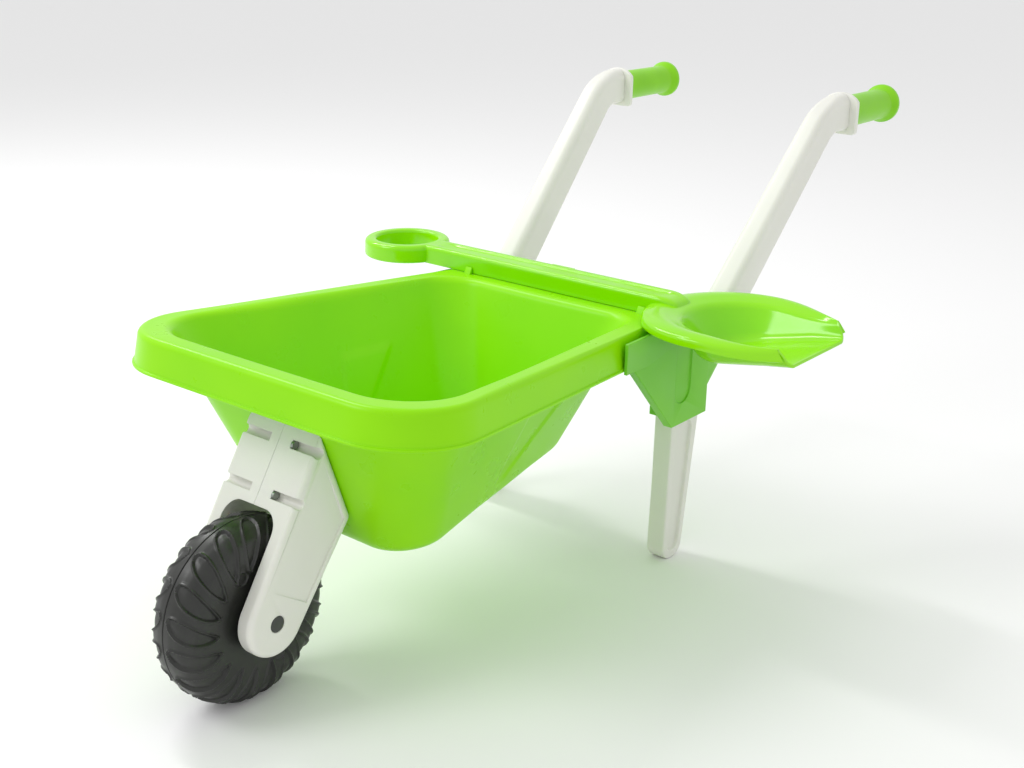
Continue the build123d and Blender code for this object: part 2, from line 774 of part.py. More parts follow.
def wheel_profile(half, tread, face_radius, rim_radius, dish, inner_radius):
    """Half of the wheel's section: X across, then the radius."""
    shoulder = (tread + (half - tread) * 0.72, face_radius + (rim_radius - face_radius) * 0.68)
    hollow = (half - dish, (face_radius + inner_radius) / 2)
    outline = Polyline((half, inner_radius), (0, inner_radius), (0, rim_radius),
                       (tread, rim_radius))
    outline += ThreePointArc((tread, rim_radius), shoulder, (half, face_radius))
    outline += ThreePointArc((half, face_radius), hollow, (half, inner_radius))
    return make_face(outline)


def make_wheel_shell():
    """One moulded half of the hollow wheel, with its hub tube."""
    axis = Axis((0, 0, 0), (1, 0, 0))
    half = wheel_half_width
    outer = revolve(Plane.XZ * wheel_profile(half, tread_half_width, side_face_radius,
                                             wheel_radius, dish_depth, hub_radius), axis)
    wall = wheel_wall
    inner = revolve(Plane.XZ * wheel_profile(half - wall, tread_half_width,
                                             side_face_radius - wall / 2,
                                             wheel_radius - wall, dish_depth,
                                             hub_radius), axis)
    hub = rod_x(0, half + hub_proud, 0, 0, hub_radius)
    shell = outer - inner + hub
    shell -= rod_x(-1, half + 2, 0, 0, axle_radius + axle_clearance)
    return Pos(0, 0, axle_z) * shell


# ---- shovel ----
def scoop_outline(centre_x, radius, end_half, grow=0.0):
    """An outline with a round back, that runs on past the scoop's open end."""
    end_x = scoop_end_x + overrun
    back = radius + grow
    end = end_half + grow
    outline = ThreePointArc((centre_x, back), (centre_x - back, 0), (centre_x, -back))
    outline += Polyline((centre_x, -back), (end_x, -end), (end_x, end), (centre_x, back))
    return make_face(outline)


def scoop_rim(grow):
    """The scoop's outer outline, with a waist between its back and its end."""
    back = scoop_radius + grow
    end_x = scoop_end_x + overrun
    end = scoop_overrun_half_width + grow
    outline = ThreePointArc((scoop_x, back), (scoop_x - back, 0), (scoop_x, -back))
    outline += Line((end_x, -end), (end_x, end))
    for side in (-1, 1):
        outline += ThreePointArc((scoop_x, side * back),
                                 (scoop_waist_x, side * (scoop_waist_half_width + grow)),
                                 (end_x, side * end))
    return make_face(outline)


def scoop_basin(grow):
    """The scoop's hollow as a solid block, down to its sloping floor."""
    lean = radians(scoop_floor_rise)
    low = Plane(origin=(scoop_x, shaft_middle_y, scoop_floor_z - grow),
                x_dir=(cos(lean), 0, sin(lean)), z_dir=(-sin(lean), 0, cos(lean)))
    floor = low * Pos(-scoop_x, 0) * scoop_outline(scoop_floor_x, scoop_floor_radius,
                                                  scoop_floor_end_half_width, grow)
    high = Plane(origin=(0, shaft_middle_y, scoop_rim_z))
    mouth = high * scoop_outline(mouth_x, mouth_radius, mouth_end_half_width, grow)
    basin = loft([floor, mouth], ruled=True)
    low_edges = basin.faces().sort_by(Axis.Z)[0].edges()
    low_edges = [e for e in low_edges if e.center().X < scoop_end_x + overrun - 2]
    return fillet(low_edges, scoop_floor_round + grow)


def make_shovel():
    """Ring, shaft and scoop in one moulding, hollow on the underside."""
    low = rim_top_z(shaft_front_y) + shovel_seat_gap
    top = low + shaft_height
    rear = shaft_front_y + shaft_depth
    shaft = block(shaft_left_x, shaft_right_x, shaft_front_y, rear, low, top)
    high_edges = [e for e in shaft.edges() if e.center().Z > top - 0.01
                  and e.center().X > shaft_left_x + 1]
    shaft = fillet(high_edges, shaft_round)
    channel = block(shaft_left_x + 1, shaft_right_x - shovel_wall,
                    shaft_front_y + shovel_wall, rear - shovel_wall,
                    low - 1, top - shovel_wall)
    ring_place = Pos(ring_x, shaft_middle_y, (low + top) / 2)
    ring = ring_place * Cylinder(ring_radius, shaft_height)
    ring = fillet(ring.edges().filter_by(GeomType.CIRCLE), ring_round)

    rim_low = Plane(origin=(0, shaft_middle_y, scoop_rim_z - scoop_rim_drop))
    plate = extrude(rim_low * scoop_rim(0), amount=scoop_rim_drop)
    outer_edges = [e for e in plate.edges() if e.center().Z > scoop_rim_z - 0.01
                   and e.center().X < scoop_end_x + overrun - 2]
    plate = fillet(outer_edges, scoop_rim_round)
    under = extrude(rim_low * scoop_rim(-shovel_wall), amount=scoop_rim_drop - shovel_wall)
    basin_outer = scoop_basin(shovel_wall)
    basin = scoop_basin(0)
    scoop = plate - under + basin_outer - basin
    shovel = ring + (shaft - channel) + scoop
    hole = ring_place * Cylinder(ring_hole_radius, shaft_height + 2)
    shovel -= hole
    ring_edges = [e for e in shovel.edges().filter_by(GeomType.CIRCLE)
                  if abs(e.radius - ring_hole_radius) < 0.01]
    shovel = fillet(ring_edges, ring_hole_round)
    slant = scoop_end_slant
    high = scoop_rim_z + 20
    past = scoop_end_x + overrun + 20
    cut = [(scoop_end_x - 20 * slant, high), (scoop_end_x + 50 * slant, scoop_rim_z - 50),
           (past, scoop_rim_z - 50), (past, high)]
    end = extrude(Plane.XZ * Polygon(*cut, align=None), amount=far, both=True)
    return shovel - end


# ---- screws ----
def screw_x(tip_x, y, z):
    """A screw that goes in along +X from its seat on a bracket's inner side."""
    head = rod_x(screw_seat_x - screw_head_height, screw_seat_x, y, z, screw_head_radius)
    return head + rod_x(screw_seat_x, tip_x, y, z, screw_radius)


def bracket_screw():
    """A screw that goes up through a bracket into its post under the rim."""
    seat = bracket_screw_seat_z
    head = rod_z(seat - screw_head_height, seat, bracket_screw_x, bracket_screw_y,
                 screw_head_radius)
    return head + rod_z(seat, bracket_screw_top_z, bracket_screw_x, bracket_screw_y,
                        screw_radius)


def fork_screw(z):
    """A screw across both halves of the fork, in one of the channels."""
    y, z = channel_centre(z)
    head = rod_x(channel_end_left, channel_end_left + screw_head_height, y, z,
                 screw_head_radius)
    return head + rod_x(-fork_screw_reach, channel_end_left, y, z, screw_radius)


def mount_screw():
    """A screw from inside the basin into the fork."""
    seat, direction = mount_screw_line(1)
    head = rod_along(seat, direction * -1, screw_head_height, screw_head_radius)
    return head + rod_along(seat, direction, fork_mount_reach, screw_radius)


def both_sides(pieces):
    """The pieces and their mirror images, as separate solids."""
    return Compound(children=list(pieces) + [mirrored(piece) for piece in pieces])


cap = rod_x(axle_half_length, axle_half_length + cap_thickness, 0, axle_z, cap_radius)
handle_screws = []
for run in handle_screw_runs:
    place, lean = handle_place(run)
    handle_screws.append(screw_x(handle_screw_tip_x, place.Y, place.Z))

pieces = {
    "tray": make_tray(),
    "bracket_left": make_bracket(),
    "leg_left": make_leg(),
    "handle_left": make_handle(),
    "grip_left": make_grip(),
    "fork_left": make_fork(channel_end_left, channel_end_left + 1),
    "fork_right": mirrored(make_fork(channel_end_right, fork_screw_reach + screw_tip_gap)),
    "wheel_shell_left": make_wheel_shell(),
    "axle": rod_x(-axle_half_length, axle_half_length, 0, axle_z, axle_radius),
    "axle_caps": both_sides([cap]),
    "shovel": make_shovel(),
    "fork_screws": Compound(children=[fork_screw(upper_channel_z),
                                      fork_screw(lower_channel_z)]),
    "fork_mount_screws": both_sides([mount_screw()]),
    "handle_screws": both_sides(handle_screws),
    "leg_screws": both_sides([screw_x(leg_screw_tip_x, leg_screw_y, leg_screw_z)]),
    "bracket_screws": both_sides([bracket_screw()]),
}
for name in ("bracket", "leg", "handle", "grip", "wheel_shell"):
    pieces[name + "_right"] = mirrored(pieces[name + "_left"])

# the row's origin is the middle of the box around everything, on the ground
boxes = [piece.bounding_box() for piece in pieces.values()]
shift_x = -(min(b.min.X for b in boxes) + max(b.max.X for b in boxes)) / 2
shift_y = -(min(b.min.Y for b in boxes) + max(b.max.Y for b in boxes)) / 2
print("moved by", round(shift_x, 4), round(shift_y, 4))
os.makedirs("parts", exist_ok=True)
for name, piece in pieces.items():
    export_step(Pos(shift_x, shift_y, 0) * piece, "parts/" + name + ".step")
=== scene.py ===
from math import ceil, cos, pi, radians, sin, sqrt, tan

import bmesh
import bpy
import numpy as np
from mathutils import Matrix, Vector


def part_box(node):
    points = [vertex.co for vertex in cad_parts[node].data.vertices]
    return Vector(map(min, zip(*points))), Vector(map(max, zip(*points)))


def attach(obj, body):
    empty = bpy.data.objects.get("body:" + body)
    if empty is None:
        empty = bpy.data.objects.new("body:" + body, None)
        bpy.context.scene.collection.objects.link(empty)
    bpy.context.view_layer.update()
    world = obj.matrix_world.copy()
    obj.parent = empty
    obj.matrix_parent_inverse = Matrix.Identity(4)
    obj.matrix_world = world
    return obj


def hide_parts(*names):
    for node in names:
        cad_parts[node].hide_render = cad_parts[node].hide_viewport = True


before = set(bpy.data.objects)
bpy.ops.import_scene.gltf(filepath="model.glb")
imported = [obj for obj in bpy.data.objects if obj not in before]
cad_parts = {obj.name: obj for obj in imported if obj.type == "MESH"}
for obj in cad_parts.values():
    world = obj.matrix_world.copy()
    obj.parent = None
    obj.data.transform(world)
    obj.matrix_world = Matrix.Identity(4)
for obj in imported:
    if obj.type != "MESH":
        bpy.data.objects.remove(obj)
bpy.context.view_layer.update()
print("frame loaded")

# Shapes are worked out in millimetres from the barrow's own middle: X across, Y back from
# the axle, Z up from the ground. barrowOrigin carries them into the row's frame.
mm = 0.001
wheelLow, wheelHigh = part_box("wheel_shell_left")
barrowOrigin = np.array([wheelLow.x, (wheelLow.y + wheelHigh.y) / 2, 0.0])
axleZ = (wheelLow.z + wheelHigh.z) / 2 / mm

tiny = 1e-9  # keeps a length that is divided by away from zero
ribs = {"straight": 0.9998, "sideShare": 0.48}  # cosine of no bend, share of a side for an arc
softened = {"weldWithin": 2e-6, "flatAngle": 1, "segments": 2}


def barrowBox(node):
    # a node's box in millimetres from the barrow's own middle
    low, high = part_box(node)
    return (np.array(low) - barrowOrigin) / mm, (np.array(high) - barrowOrigin) / mm


def roundRibs(loops, radii, steps=8):
    # Each column of the loops is a bent line. Every inner bend is replaced by the arc that
    # touches both of its straight sides, with the radius given for that bend.
    loops = [np.asarray(loop, float) for loop in loops]
    rows = [loops[0]]
    for before, corner, after, radius in zip(loops[:-2], loops[1:-1], loops[2:], radii):
        toBefore = before - corner
        toAfter = after - corner
        lengthBefore = np.maximum(np.linalg.norm(toBefore, axis=1, keepdims=True), tiny)
        lengthAfter = np.maximum(np.linalg.norm(toAfter, axis=1, keepdims=True), tiny)
        toBefore = toBefore / lengthBefore
        toAfter = toAfter / lengthAfter
        if radius <= 0:
            rows.append(corner)
            continue
        cosine = np.clip((toBefore * toAfter).sum(1, keepdims=True), -ribs["straight"],
                         ribs["straight"])
        half = np.arccos(cosine) / 2
        reach = np.minimum(radius / np.tan(half),
                           ribs["sideShare"] * np.minimum(lengthBefore, lengthAfter))
        middle = toBefore + toAfter
        middle = middle / np.maximum(np.linalg.norm(middle, axis=1, keepdims=True), tiny)
        centre = corner + middle * reach / np.cos(half)
        first = corner + toBefore * reach - centre
        last = corner + toAfter * reach - centre
        angle = pi - 2 * half
        for share in np.linspace(0, 1, steps + 1):
            rows.append(centre + (np.sin((1 - share) * angle) * first
                                  + np.sin(share * angle) * last) / np.sin(angle))
    rows.append(loops[-1])
    return np.array(rows)


def fillRows(rows, step):
    # straight rows are added wherever two neighbouring rows lie further apart than the step
    filled = [rows[0]]
    for first, second in zip(rows[:-1], rows[1:]):
        count = max(1, ceil(np.linalg.norm(second - first, axis=1).max() / step))
        filled += [first + (second - first) * i / count for i in range(1, count + 1)]
    return np.array(filled)


def roundedOutline(corners, radii, arcSteps, edgeSteps):
    # A counter-clockwise polygon whose corners are arcs, with a fixed number of points on
    # every arc and every side, so that outlines of one family can be joined point to point.
    corners = np.asarray(corners, float)
    count = len(corners)
    arcs = []
    for i in range(count):
        before, corner, after = corners[i - 1], corners[i], corners[(i + 1) % count]
        arc = roundRibs([before[None], corner[None], after[None]], [radii[i]], arcSteps)
        arcs.append(arc[1:-1, 0])
    points = []
    for i in range(count):
        points.append(arcs[i])
        start, end = arcs[i][-1], arcs[(i + 1) % count][0]
        shares = np.linspace(0, 1, edgeSteps[i] + 1)[1:-1, None]
        points.append(start + (end - start) * shares)
    return np.concatenate(points)


def offsetOutline(outline, distance):
    # every point moves along the outline's own outward normal
    along = np.roll(outline, -1, axis=0) - np.roll(outline, 1, axis=0)
    normal = np.stack([along[:, 1], -along[:, 0]], 1)
    normal /= np.maximum(np.linalg.norm(normal, axis=1, keepdims=True), tiny)
    return outline + normal * distance


def shrunk(loop, share):
    # every point keeps only a share of its distance from the loop's middle
    centre = loop.mean(0)
    return centre + (loop - centre) * share


def roundedLine(corners, radii, steps, longest=None):
    # a bent line of (a, b) points with arcs in its bends, and its long stretches divided
    rows = roundRibs([np.array([[a, b, 0.0]]) for a, b in corners], radii, steps)
    if longest:
        rows = fillRows(rows, longest)
    return rows[:, 0, :2]


def smoothStep(value):
    # three squares less two cubes, which is level where it starts and ends
    value = np.clip(value, 0, 1)
    return value * value * (3 - 2 * value)


def gridPart(rows, closed=True, capStart=True, capEnd=True):
    # rows by columns of points become quads; a closed grid may end in fans round a middle point
    rows = np.asarray(rows, float)
    rowCount, columnCount = rows.shape[:2]
    index = np.arange(rowCount * columnCount).reshape(rowCount, columnCount)
    here = index if closed else index[:, :-1]
    beside = np.roll(index, -1, axis=1) if closed else index[:, 1:]
    quads = np.stack([here[:-1], beside[:-1], beside[1:], here[1:]], -1).reshape(-1, 4)
    points = rows.reshape(-1, 3)
    faces = quads.tolist()
    for wanted, row in ((capStart, 0), (capEnd, rowCount - 1)):
        if not (wanted and closed):
            continue
        middle = len(points)
        points = np.vstack([points, rows[row].mean(0)])
        ring, ringNext = index[row], np.roll(index[row], -1)
        if row == 0:
            ring, ringNext = ringNext, ring
        faces += np.stack([ring, ringNext, np.full_like(ring, middle)], 1).tolist()
    return points, faces


def signedVolume(points, faces):
    # a sixth of the triangles' triple products, above zero if they face outwards
    fans = [(face[0], face[i], face[i + 1]) for face in faces for i in range(1, len(face) - 1)]
    a, b, c = (points[np.array(fans)[:, i]] for i in range(3))
    return (a * np.cross(b, c)).sum() / 6


def mirrorPart(part):
    # left becomes right, and the faces are turned to look outwards again
    points, faces = part
    return points * [-1, 1, 1], [face[::-1] for face in faces]


def addPiece(name, parts, material, body, nodes, sharpAngle=35):
    # Closed parts are turned the right way out by the sign of their volume, then joined.
    allPoints, allFaces, start = [], [], 0
    for points, faces in parts:
        if signedVolume(points - points.mean(0), faces) < 0:
            faces = [face[::-1] for face in faces]
        allFaces += [[v + start for v in face] for face in faces]
        allPoints.append(points)
        start += len(points)
    places = np.concatenate(allPoints) * mm + barrowOrigin
    mesh = bpy.data.meshes.new(name)
    mesh.from_pydata(places.tolist(), [], allFaces)
    mesh.shade_smooth()
    mesh.set_sharp_from_angle(angle=radians(sharpAngle))
    mesh.materials.append(material)
    piece = bpy.data.objects.new(name, mesh)
    bpy.context.collection.objects.link(piece)
    return finishPiece(piece, body, nodes)


def finishPiece(piece, body, nodes):
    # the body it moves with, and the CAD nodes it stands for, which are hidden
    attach(piece, body)
    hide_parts(*nodes)
    return piece


def copiedNode(name, node, material, body, bevelWidth, sharpAngle=30):
    # a welded copy of a CAD node, whose sharp edges get a small round
    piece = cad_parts[node].copy()
    piece.data = piece.data.copy()
    piece.name = name
    work = bmesh.new()
    work.from_mesh(piece.data)
    bmesh.ops.remove_doubles(work, verts=work.verts, dist=softened["weldWithin"])
    bmesh.ops.dissolve_limit(work, angle_limit=radians(softened["flatAngle"]),
                             verts=work.verts, edges=work.edges)
    work.to_mesh(piece.data)
    work.free()
    piece.data.materials.clear()
    piece.data.materials.append(material)
    piece.data.shade_smooth()
    piece.data.set_sharp_from_angle(angle=radians(sharpAngle))
    bpy.context.collection.objects.link(piece)
    piece.hide_render = False
    if bevelWidth:
        bevel = piece.modifiers.new("edge round", "BEVEL")
        bevel.width = bevelWidth * mm
        bevel.segments = softened["segments"]
        bevel.limit_method = "ANGLE"
        bevel.angle_limit = radians(sharpAngle)
        bevel.use_clamp_overlap = False
        bevel.harden_normals = True
    return finishPiece(piece, body, [node])


# What all the plastics share: where the two colours start and stop mixing, which part of a
# noise drives the gloss, and how strong the slow wave and the fine grain are.
finish = {"mixFrom": 0.35, "mixTo": 0.65, "noiseFrom": 0.3, "noiseTo": 0.7, "glossScale": 4,
          "waveScale": 1.7, "waveStrength": 0.6, "grainStrength": 0.5, "scatterDepth": 0.006}


def plastic(name, colour, otherColour, roughness, spread, blotchScale, grainScale, grainHeight,
            waveHeight, specular=0.5, scatter=0.0, scatterColour=None):
    # Two close colours drift into each other over the moulding, the gloss varies with a
    # finer noise, and the bump is a slow mould-flow wave under a fine spark-eroded grain.
    material = bpy.data.materials.new(name)
    material.use_nodes = True
    nodes, links = material.node_tree.nodes, material.node_tree.links
    shader = nodes["Principled BSDF"]
    place = nodes.new("ShaderNodeTexCoord")

    def noise(scale, detail):
        node = nodes.new("ShaderNodeTexNoise")
        node.inputs["Scale"].default_value = scale
        node.inputs["Detail"].default_value = detail
        links.new(place.outputs["Object"], node.inputs["Vector"])
        return node.outputs["Fac"]

    def bump(strength, height, source):
        node = nodes.new("ShaderNodeBump")
        node.inputs["Strength"].default_value = strength
        node.inputs["Distance"].default_value = height * mm
        links.new(source, node.inputs["Height"])
        return node

    ramp = nodes.new("ShaderNodeValToRGB")
    ramp.color_ramp.elements[0].position = finish["mixFrom"]
    ramp.color_ramp.elements[0].color = (*colour, 1)
    ramp.color_ramp.elements[1].position = finish["mixTo"]
    ramp.color_ramp.elements[1].color = (*otherColour, 1)
    links.new(noise(blotchScale, 3), ramp.inputs["Fac"])
    links.new(ramp.outputs["Color"], shader.inputs["Base Color"])
    gloss = nodes.new("ShaderNodeMapRange")
    gloss.inputs["From Min"].default_value = finish["noiseFrom"]
    gloss.inputs["From Max"].default_value = finish["noiseTo"]
    gloss.inputs["To Min"].default_value = roughness - spread
    gloss.inputs["To Max"].default_value = roughness + spread
    links.new(noise(blotchScale * finish["glossScale"], 5), gloss.inputs["Value"])
    links.new(gloss.outputs["Result"], shader.inputs["Roughness"])
    wave = bump(finish["waveStrength"], waveHeight, noise(blotchScale * finish["waveScale"], 1))
    grain = bump(finish["grainStrength"], grainHeight, noise(grainScale, 2))
    links.new(wave.outputs["Normal"], grain.inputs["Normal"])
    links.new(grain.outputs["Normal"], shader.inputs["Normal"])
    shader.inputs["Specular IOR Level"].default_value = specular
    if scatter:
        shader.inputs["Subsurface Weight"].default_value = scatter
        shader.inputs["Subsurface Radius"].default_value = scatterColour
        shader.inputs["Subsurface Scale"].default_value = finish["scatterDepth"]
    return material


greenPlastic = plastic("greenPlastic", (0.265, 0.73, 0.0), (0.30, 0.77, 0.0), roughness=0.30,
                       spread=0.04, blotchScale=9, grainScale=1400, grainHeight=0.005,
                       waveHeight=0.12, specular=0.22)
glossyPlastic = plastic("glossyPlastic", (0.255, 0.72, 0.0), (0.29, 0.76, 0.0), roughness=0.16,
                        spread=0.03, blotchScale=12, grainScale=1600, grainHeight=0.004,
                        waveHeight=0.10)
# painted shade: the tray's green made darker for the brackets, which sit in shadow under the
# tray's rim
bracketGreenPaintedShade = plastic("bracketGreenPaintedShade", (0.17, 0.56, 0.02), (0.20, 0.60, 0.03),
                         roughness=0.42, spread=0.05, blotchScale=16, grainScale=1400,
                         grainHeight=0.01, waveHeight=0.12, specular=0.4)
gripPlastic = plastic("gripPlastic", (0.215, 0.60, 0.004), (0.245, 0.65, 0.008),
                      roughness=0.34, spread=0.05, blotchScale=30, grainScale=1800,
                      grainHeight=0.01, waveHeight=0.15, specular=0.3, scatter=0.1,
                      scatterColour=(0.6, 1.0, 0.05))
whitePlastic = plastic("whitePlastic", (0.76, 0.76, 0.70), (0.80, 0.80, 0.74), roughness=0.42,
                       spread=0.05, blotchScale=14, grainScale=1600, grainHeight=0.01,
                       waveHeight=0.2, scatter=0.15, scatterColour=(1.0, 0.95, 0.8))
blackPlastic = plastic("blackPlastic", (0.016, 0.017, 0.015), (0.024, 0.025, 0.022),
                       roughness=0.36, spread=0.06, blotchScale=35, grainScale=1500,
                       grainHeight=0.02, waveHeight=0.2)
capPlastic = plastic("capPlastic", (0.045, 0.047, 0.045), (0.06, 0.062, 0.06), roughness=0.45,
                     spread=0.05, blotchScale=60, grainScale=2000, grainHeight=0.03,
                     waveHeight=0.1)
drawnMetal = {"stretch": 0.05, "spread": 0.08, "strength": 0.3, "depth": 0.02}


def metal(name, colour, roughness, lineScale):
    # fine drawn lines: a noise stretched along the rod drives the roughness and the bump
    material = bpy.data.materials.new(name)
    material.use_nodes = True
    nodes, links = material.node_tree.nodes, material.node_tree.links
    shader = nodes["Principled BSDF"]
    shader.inputs["Base Color"].default_value = (*colour, 1)
    shader.inputs["Metallic"].default_value = 1
    place = nodes.new("ShaderNodeTexCoord")
    mapping = nodes.new("ShaderNodeMapping")
    mapping.inputs["Scale"].default_value = (drawnMetal["stretch"], 1, 1)
    noise = nodes.new("ShaderNodeTexNoise")
    noise.inputs["Scale"].default_value = lineScale
    links.new(place.outputs["Object"], mapping.inputs["Vector"])
    links.new(mapping.outputs["Vector"], noise.inputs["Vector"])
    gloss = nodes.new("ShaderNodeMapRange")
    gloss.inputs["To Min"].default_value = roughness - drawnMetal["spread"]
    gloss.inputs["To Max"].default_value = roughness + drawnMetal["spread"]
    links.new(noise.outputs["Fac"], gloss.inputs["Value"])
    links.new(gloss.outputs["Result"], shader.inputs["Roughness"])
    bump = nodes.new("ShaderNodeBump")
    bump.inputs["Strength"].default_value = drawnMetal["strength"]
    bump.inputs["Distance"].default_value = drawnMetal["depth"] * mm
    links.new(noise.outputs["Fac"], bump.inputs["Height"])
    links.new(bump.outputs["Normal"], shader.inputs["Normal"])
    return material


rodSteel = metal("rodSteel", (0.6, 0.6, 0.6), 0.32, 900)
screwSteel = metal("screwSteel", (0.30, 0.33, 0.30), 0.38, 1200)
print("materials made")

# The profile holds (across, radius) corners from the hub's bore over the hub, the dished side,
# the shoulder and the tread to the seam. Lugs are measured from the seam along that line.
wheel = {"profile": [(24.6, 4.2), (24.6, 11.5), (22.0, 13.5), (20.9, 28.0), (22.7, 50.0),
                     (20.7, 60.5), (13.7, 67.6), (6.0, 69.6), (0.7, 69.9), (0.0, 68.7)],
         "bends": [0.6, 1.5, 30, 18, 12, 12, 20, 0.3], "around": 648, "profileStep": 0.85,
         "bore": 4.2, "plainHub": 14, "lugs": 18, "lugStart": 4.5, "lugEnd": 45.0,
         "lugHalfAngle": 7.9, "lugFullness": 1.55, "lugTread": 0.42, "lugTip": 0.62,
         "lugLean": 15.0, "lugUpright": 0.3, "lugEndSlope": 1.2, "lugHeight": 1.1,
         "lugRise": 1.3, "dishDepth": 0.2, "dishFrom": 1.6, "dishRun": 5.0,
         "grooveDepth": 1.1, "grooveWidth": 0.9, "grooveOut": 0.5, "markRadius": 5.2,
         "markAt": 39.0, "markAngle": 23.0, "markWidth": 0.7, "markDepth": 0.9,
         "markFace": 15}


def lugInside(share, fromSeam, radius, angle):
    # How far a point lies inside the nearest lug. The half width is a round end on the tread
    # and a drawn-out tip towards the hub, where the lug also leans the most.
    pitch = 2 * pi / wheel["lugs"]
    halfAngle = (radians(wheel["lugHalfAngle"]) * wheel["lugFullness"]
                 * share ** wheel["lugTread"] * (1 - share) ** wheel["lugTip"])
    lean = radians(wheel["lugLean"]) * (share - wheel["lugUpright"])
    offset = (angle - lean + pitch / 2) % pitch - pitch / 2
    inside = (halfAngle - np.abs(offset)) * radius
    inside = np.minimum(inside, (fromSeam - wheel["lugStart"]) * wheel["lugEndSlope"])
    return np.minimum(inside, (wheel["lugEnd"] - fromSeam) * wheel["lugEndSlope"])


def roundMarks(across, radius, angle):
    # two engraved circles on the dished side, opposite each other
    marks = np.zeros(np.broadcast(radius, angle).shape)
    for turn in (0, pi):
        centre = radians(wheel["markAngle"]) + turn
        flatY = radius * np.sin(angle) - wheel["markAt"] * sin(centre)
        flatZ = radius * np.cos(angle) - wheel["markAt"] * cos(centre)
        away = np.sqrt(flatY ** 2 + flatZ ** 2)
        ring = np.exp(-((away - wheel["markRadius"]) / wheel["markWidth"]) ** 2)
        marks += ring * (across > wheel["markFace"])
    return marks


def wheelShell():
    # the profile turned round the axle, each point moved along the profile's own normal
    profile = roundedLine(wheel["profile"], wheel["bends"], 6, wheel["profileStep"])
    gaps = np.linalg.norm(np.diff(profile, axis=0), axis=1)
    fromSeam = (gaps.sum() - np.concatenate([[0], np.cumsum(gaps)]))[:, None]
    across, radius = profile[:, :1], profile[:, 1:]
    angle = np.linspace(0, 2 * pi, wheel["around"], endpoint=False)[None, :]
    share = np.clip((fromSeam - wheel["lugStart"]) / (wheel["lugEnd"] - wheel["lugStart"]), 0, 1)
    inside = lugInside(share, fromSeam, radius, angle)
    raised = wheel["lugHeight"] * smoothStep(inside / wheel["lugRise"])
    hollow = wheel["dishDepth"] * smoothStep((inside - wheel["dishFrom"]) / wheel["dishRun"])
    groove = wheel["grooveDepth"] * np.exp(
        -((inside + wheel["grooveOut"]) / wheel["grooveWidth"]) ** 2)
    height = raised - hollow - groove - wheel["markDepth"] * roundMarks(across, radius, angle)
    height = height * (radius > wheel["plainHub"])
    slope = np.gradient(profile, axis=0)
    normal = np.stack([slope[:, 1], -slope[:, 0]], 1)
    normal /= np.linalg.norm(normal, axis=1, keepdims=True)
    normal *= np.sign(normal[len(normal) // 2, 1])
    outX = across + normal[:, :1] * height
    outR = radius + normal[:, 1:] * height
    surface = np.stack([outX + 0 * angle, -outR * np.sin(angle), axleZ + outR * np.cos(angle)], -1)
    # the seam and the bore are closed by an inner tube of the bore's own radius
    bore = wheel["bore"]
    ring = np.stack([0 * angle, -bore * np.sin(angle), axleZ + bore * np.cos(angle)], -1)
    rows = np.concatenate([surface, ring, surface[:1]])
    return gridPart(rows, capStart=False, capEnd=False)


def weld(piece, distance=1e-6, sharpAngle=35):
    # points that coincide become one, so that the shading runs across the joint
    work = bmesh.new()
    work.from_mesh(piece.data)
    bmesh.ops.remove_doubles(work, verts=work.verts, dist=distance)
    work.to_mesh(piece.data)
    work.free()
    piece.data.set_sharp_from_angle(angle=radians(sharpAngle))


shell = wheelShell()
weld(addPiece("wheelLeft", [shell], blackPlastic, "wheel", ["wheel_shell_left"]))
weld(addPiece("wheelRight", [mirrorPart(shell)], blackPlastic, "wheel",
              ["wheel_shell_right"]))
print("wheel made")

tray = {"frontY": 9.0, "rearY": 408.0, "lipZ": 222.8, "fall": 3.09, "frontHalf": 169.3,
        "rearHalf": 117.4, "frontCorner": 62.0, "rearCorner": 30.0, "rimHeight": 27.5,
        "draft": 3.5, "lipProud": 1.5, "lipHeight": 2.4, "lipEdge": 0.4, "wall": 2.5,
        "lipRounds": [0.8, 0.6, 0.7, 0.5], "bandFront": 20.0, "bandSide": 17.0,
        "bandRear": 53.0, "mouthFrontCorner": 48.0, "mouthRearCorner": 36.0,
        "throatRound": 9.0, "rimRound": 5.5, "floorFrontY": 90.0, "floorRearY": 309.0,
        "floorFrontZ": 99.5, "floorRise": 6.4, "floorFrontHalf": 83.0, "floorRearHalf": 57.0,
        "floorCorner": 34.0, "floorRearShare": 0.8, "floorRound": 15.0, "floorInner": 0.7,
        "floorMiddle": 0.04, "panelDepth": 1.4, "panelSlope": 2.5, "rowStep": 4.0,
        "arcSteps": 14, "edgeSteps": [26, 110, 60, 110],
        "panelCorners": [(190.0, 130.0), (203.0, 128.0), (262.0, 190.0), (205.0, 190.0)]}


def rimTopZ(y):
    # the rim's top falls evenly from front to back
    fall = radians(tray["fall"])
    top = tray["lipZ"] + tray["rimHeight"] / cos(fall)
    return top - tan(fall) * (y - tray["frontY"])


def inRimPlane(outline, drop):
    # an outline drawn along the falling rim, then dropped square to it
    fall = radians(tray["fall"])
    x, along = outline[:, 0], outline[:, 1]
    y = tray["frontY"] + along * cos(fall) - drop * sin(fall)
    z = rimTopZ(tray["frontY"]) - along * sin(fall) - drop * cos(fall)
    return np.stack([x, y, z], 1)


def inFloorPlane(outline, drop):
    # an outline drawn along the rising floor, then dropped square to it
    rise = radians(tray["floorRise"])
    x, along = outline[:, 0], outline[:, 1]
    y = tray["floorFrontY"] + along * cos(rise) + drop * sin(rise)
    z = tray["floorFrontZ"] + along * sin(rise) - drop * cos(rise)
    return np.stack([x, y, z], 1)


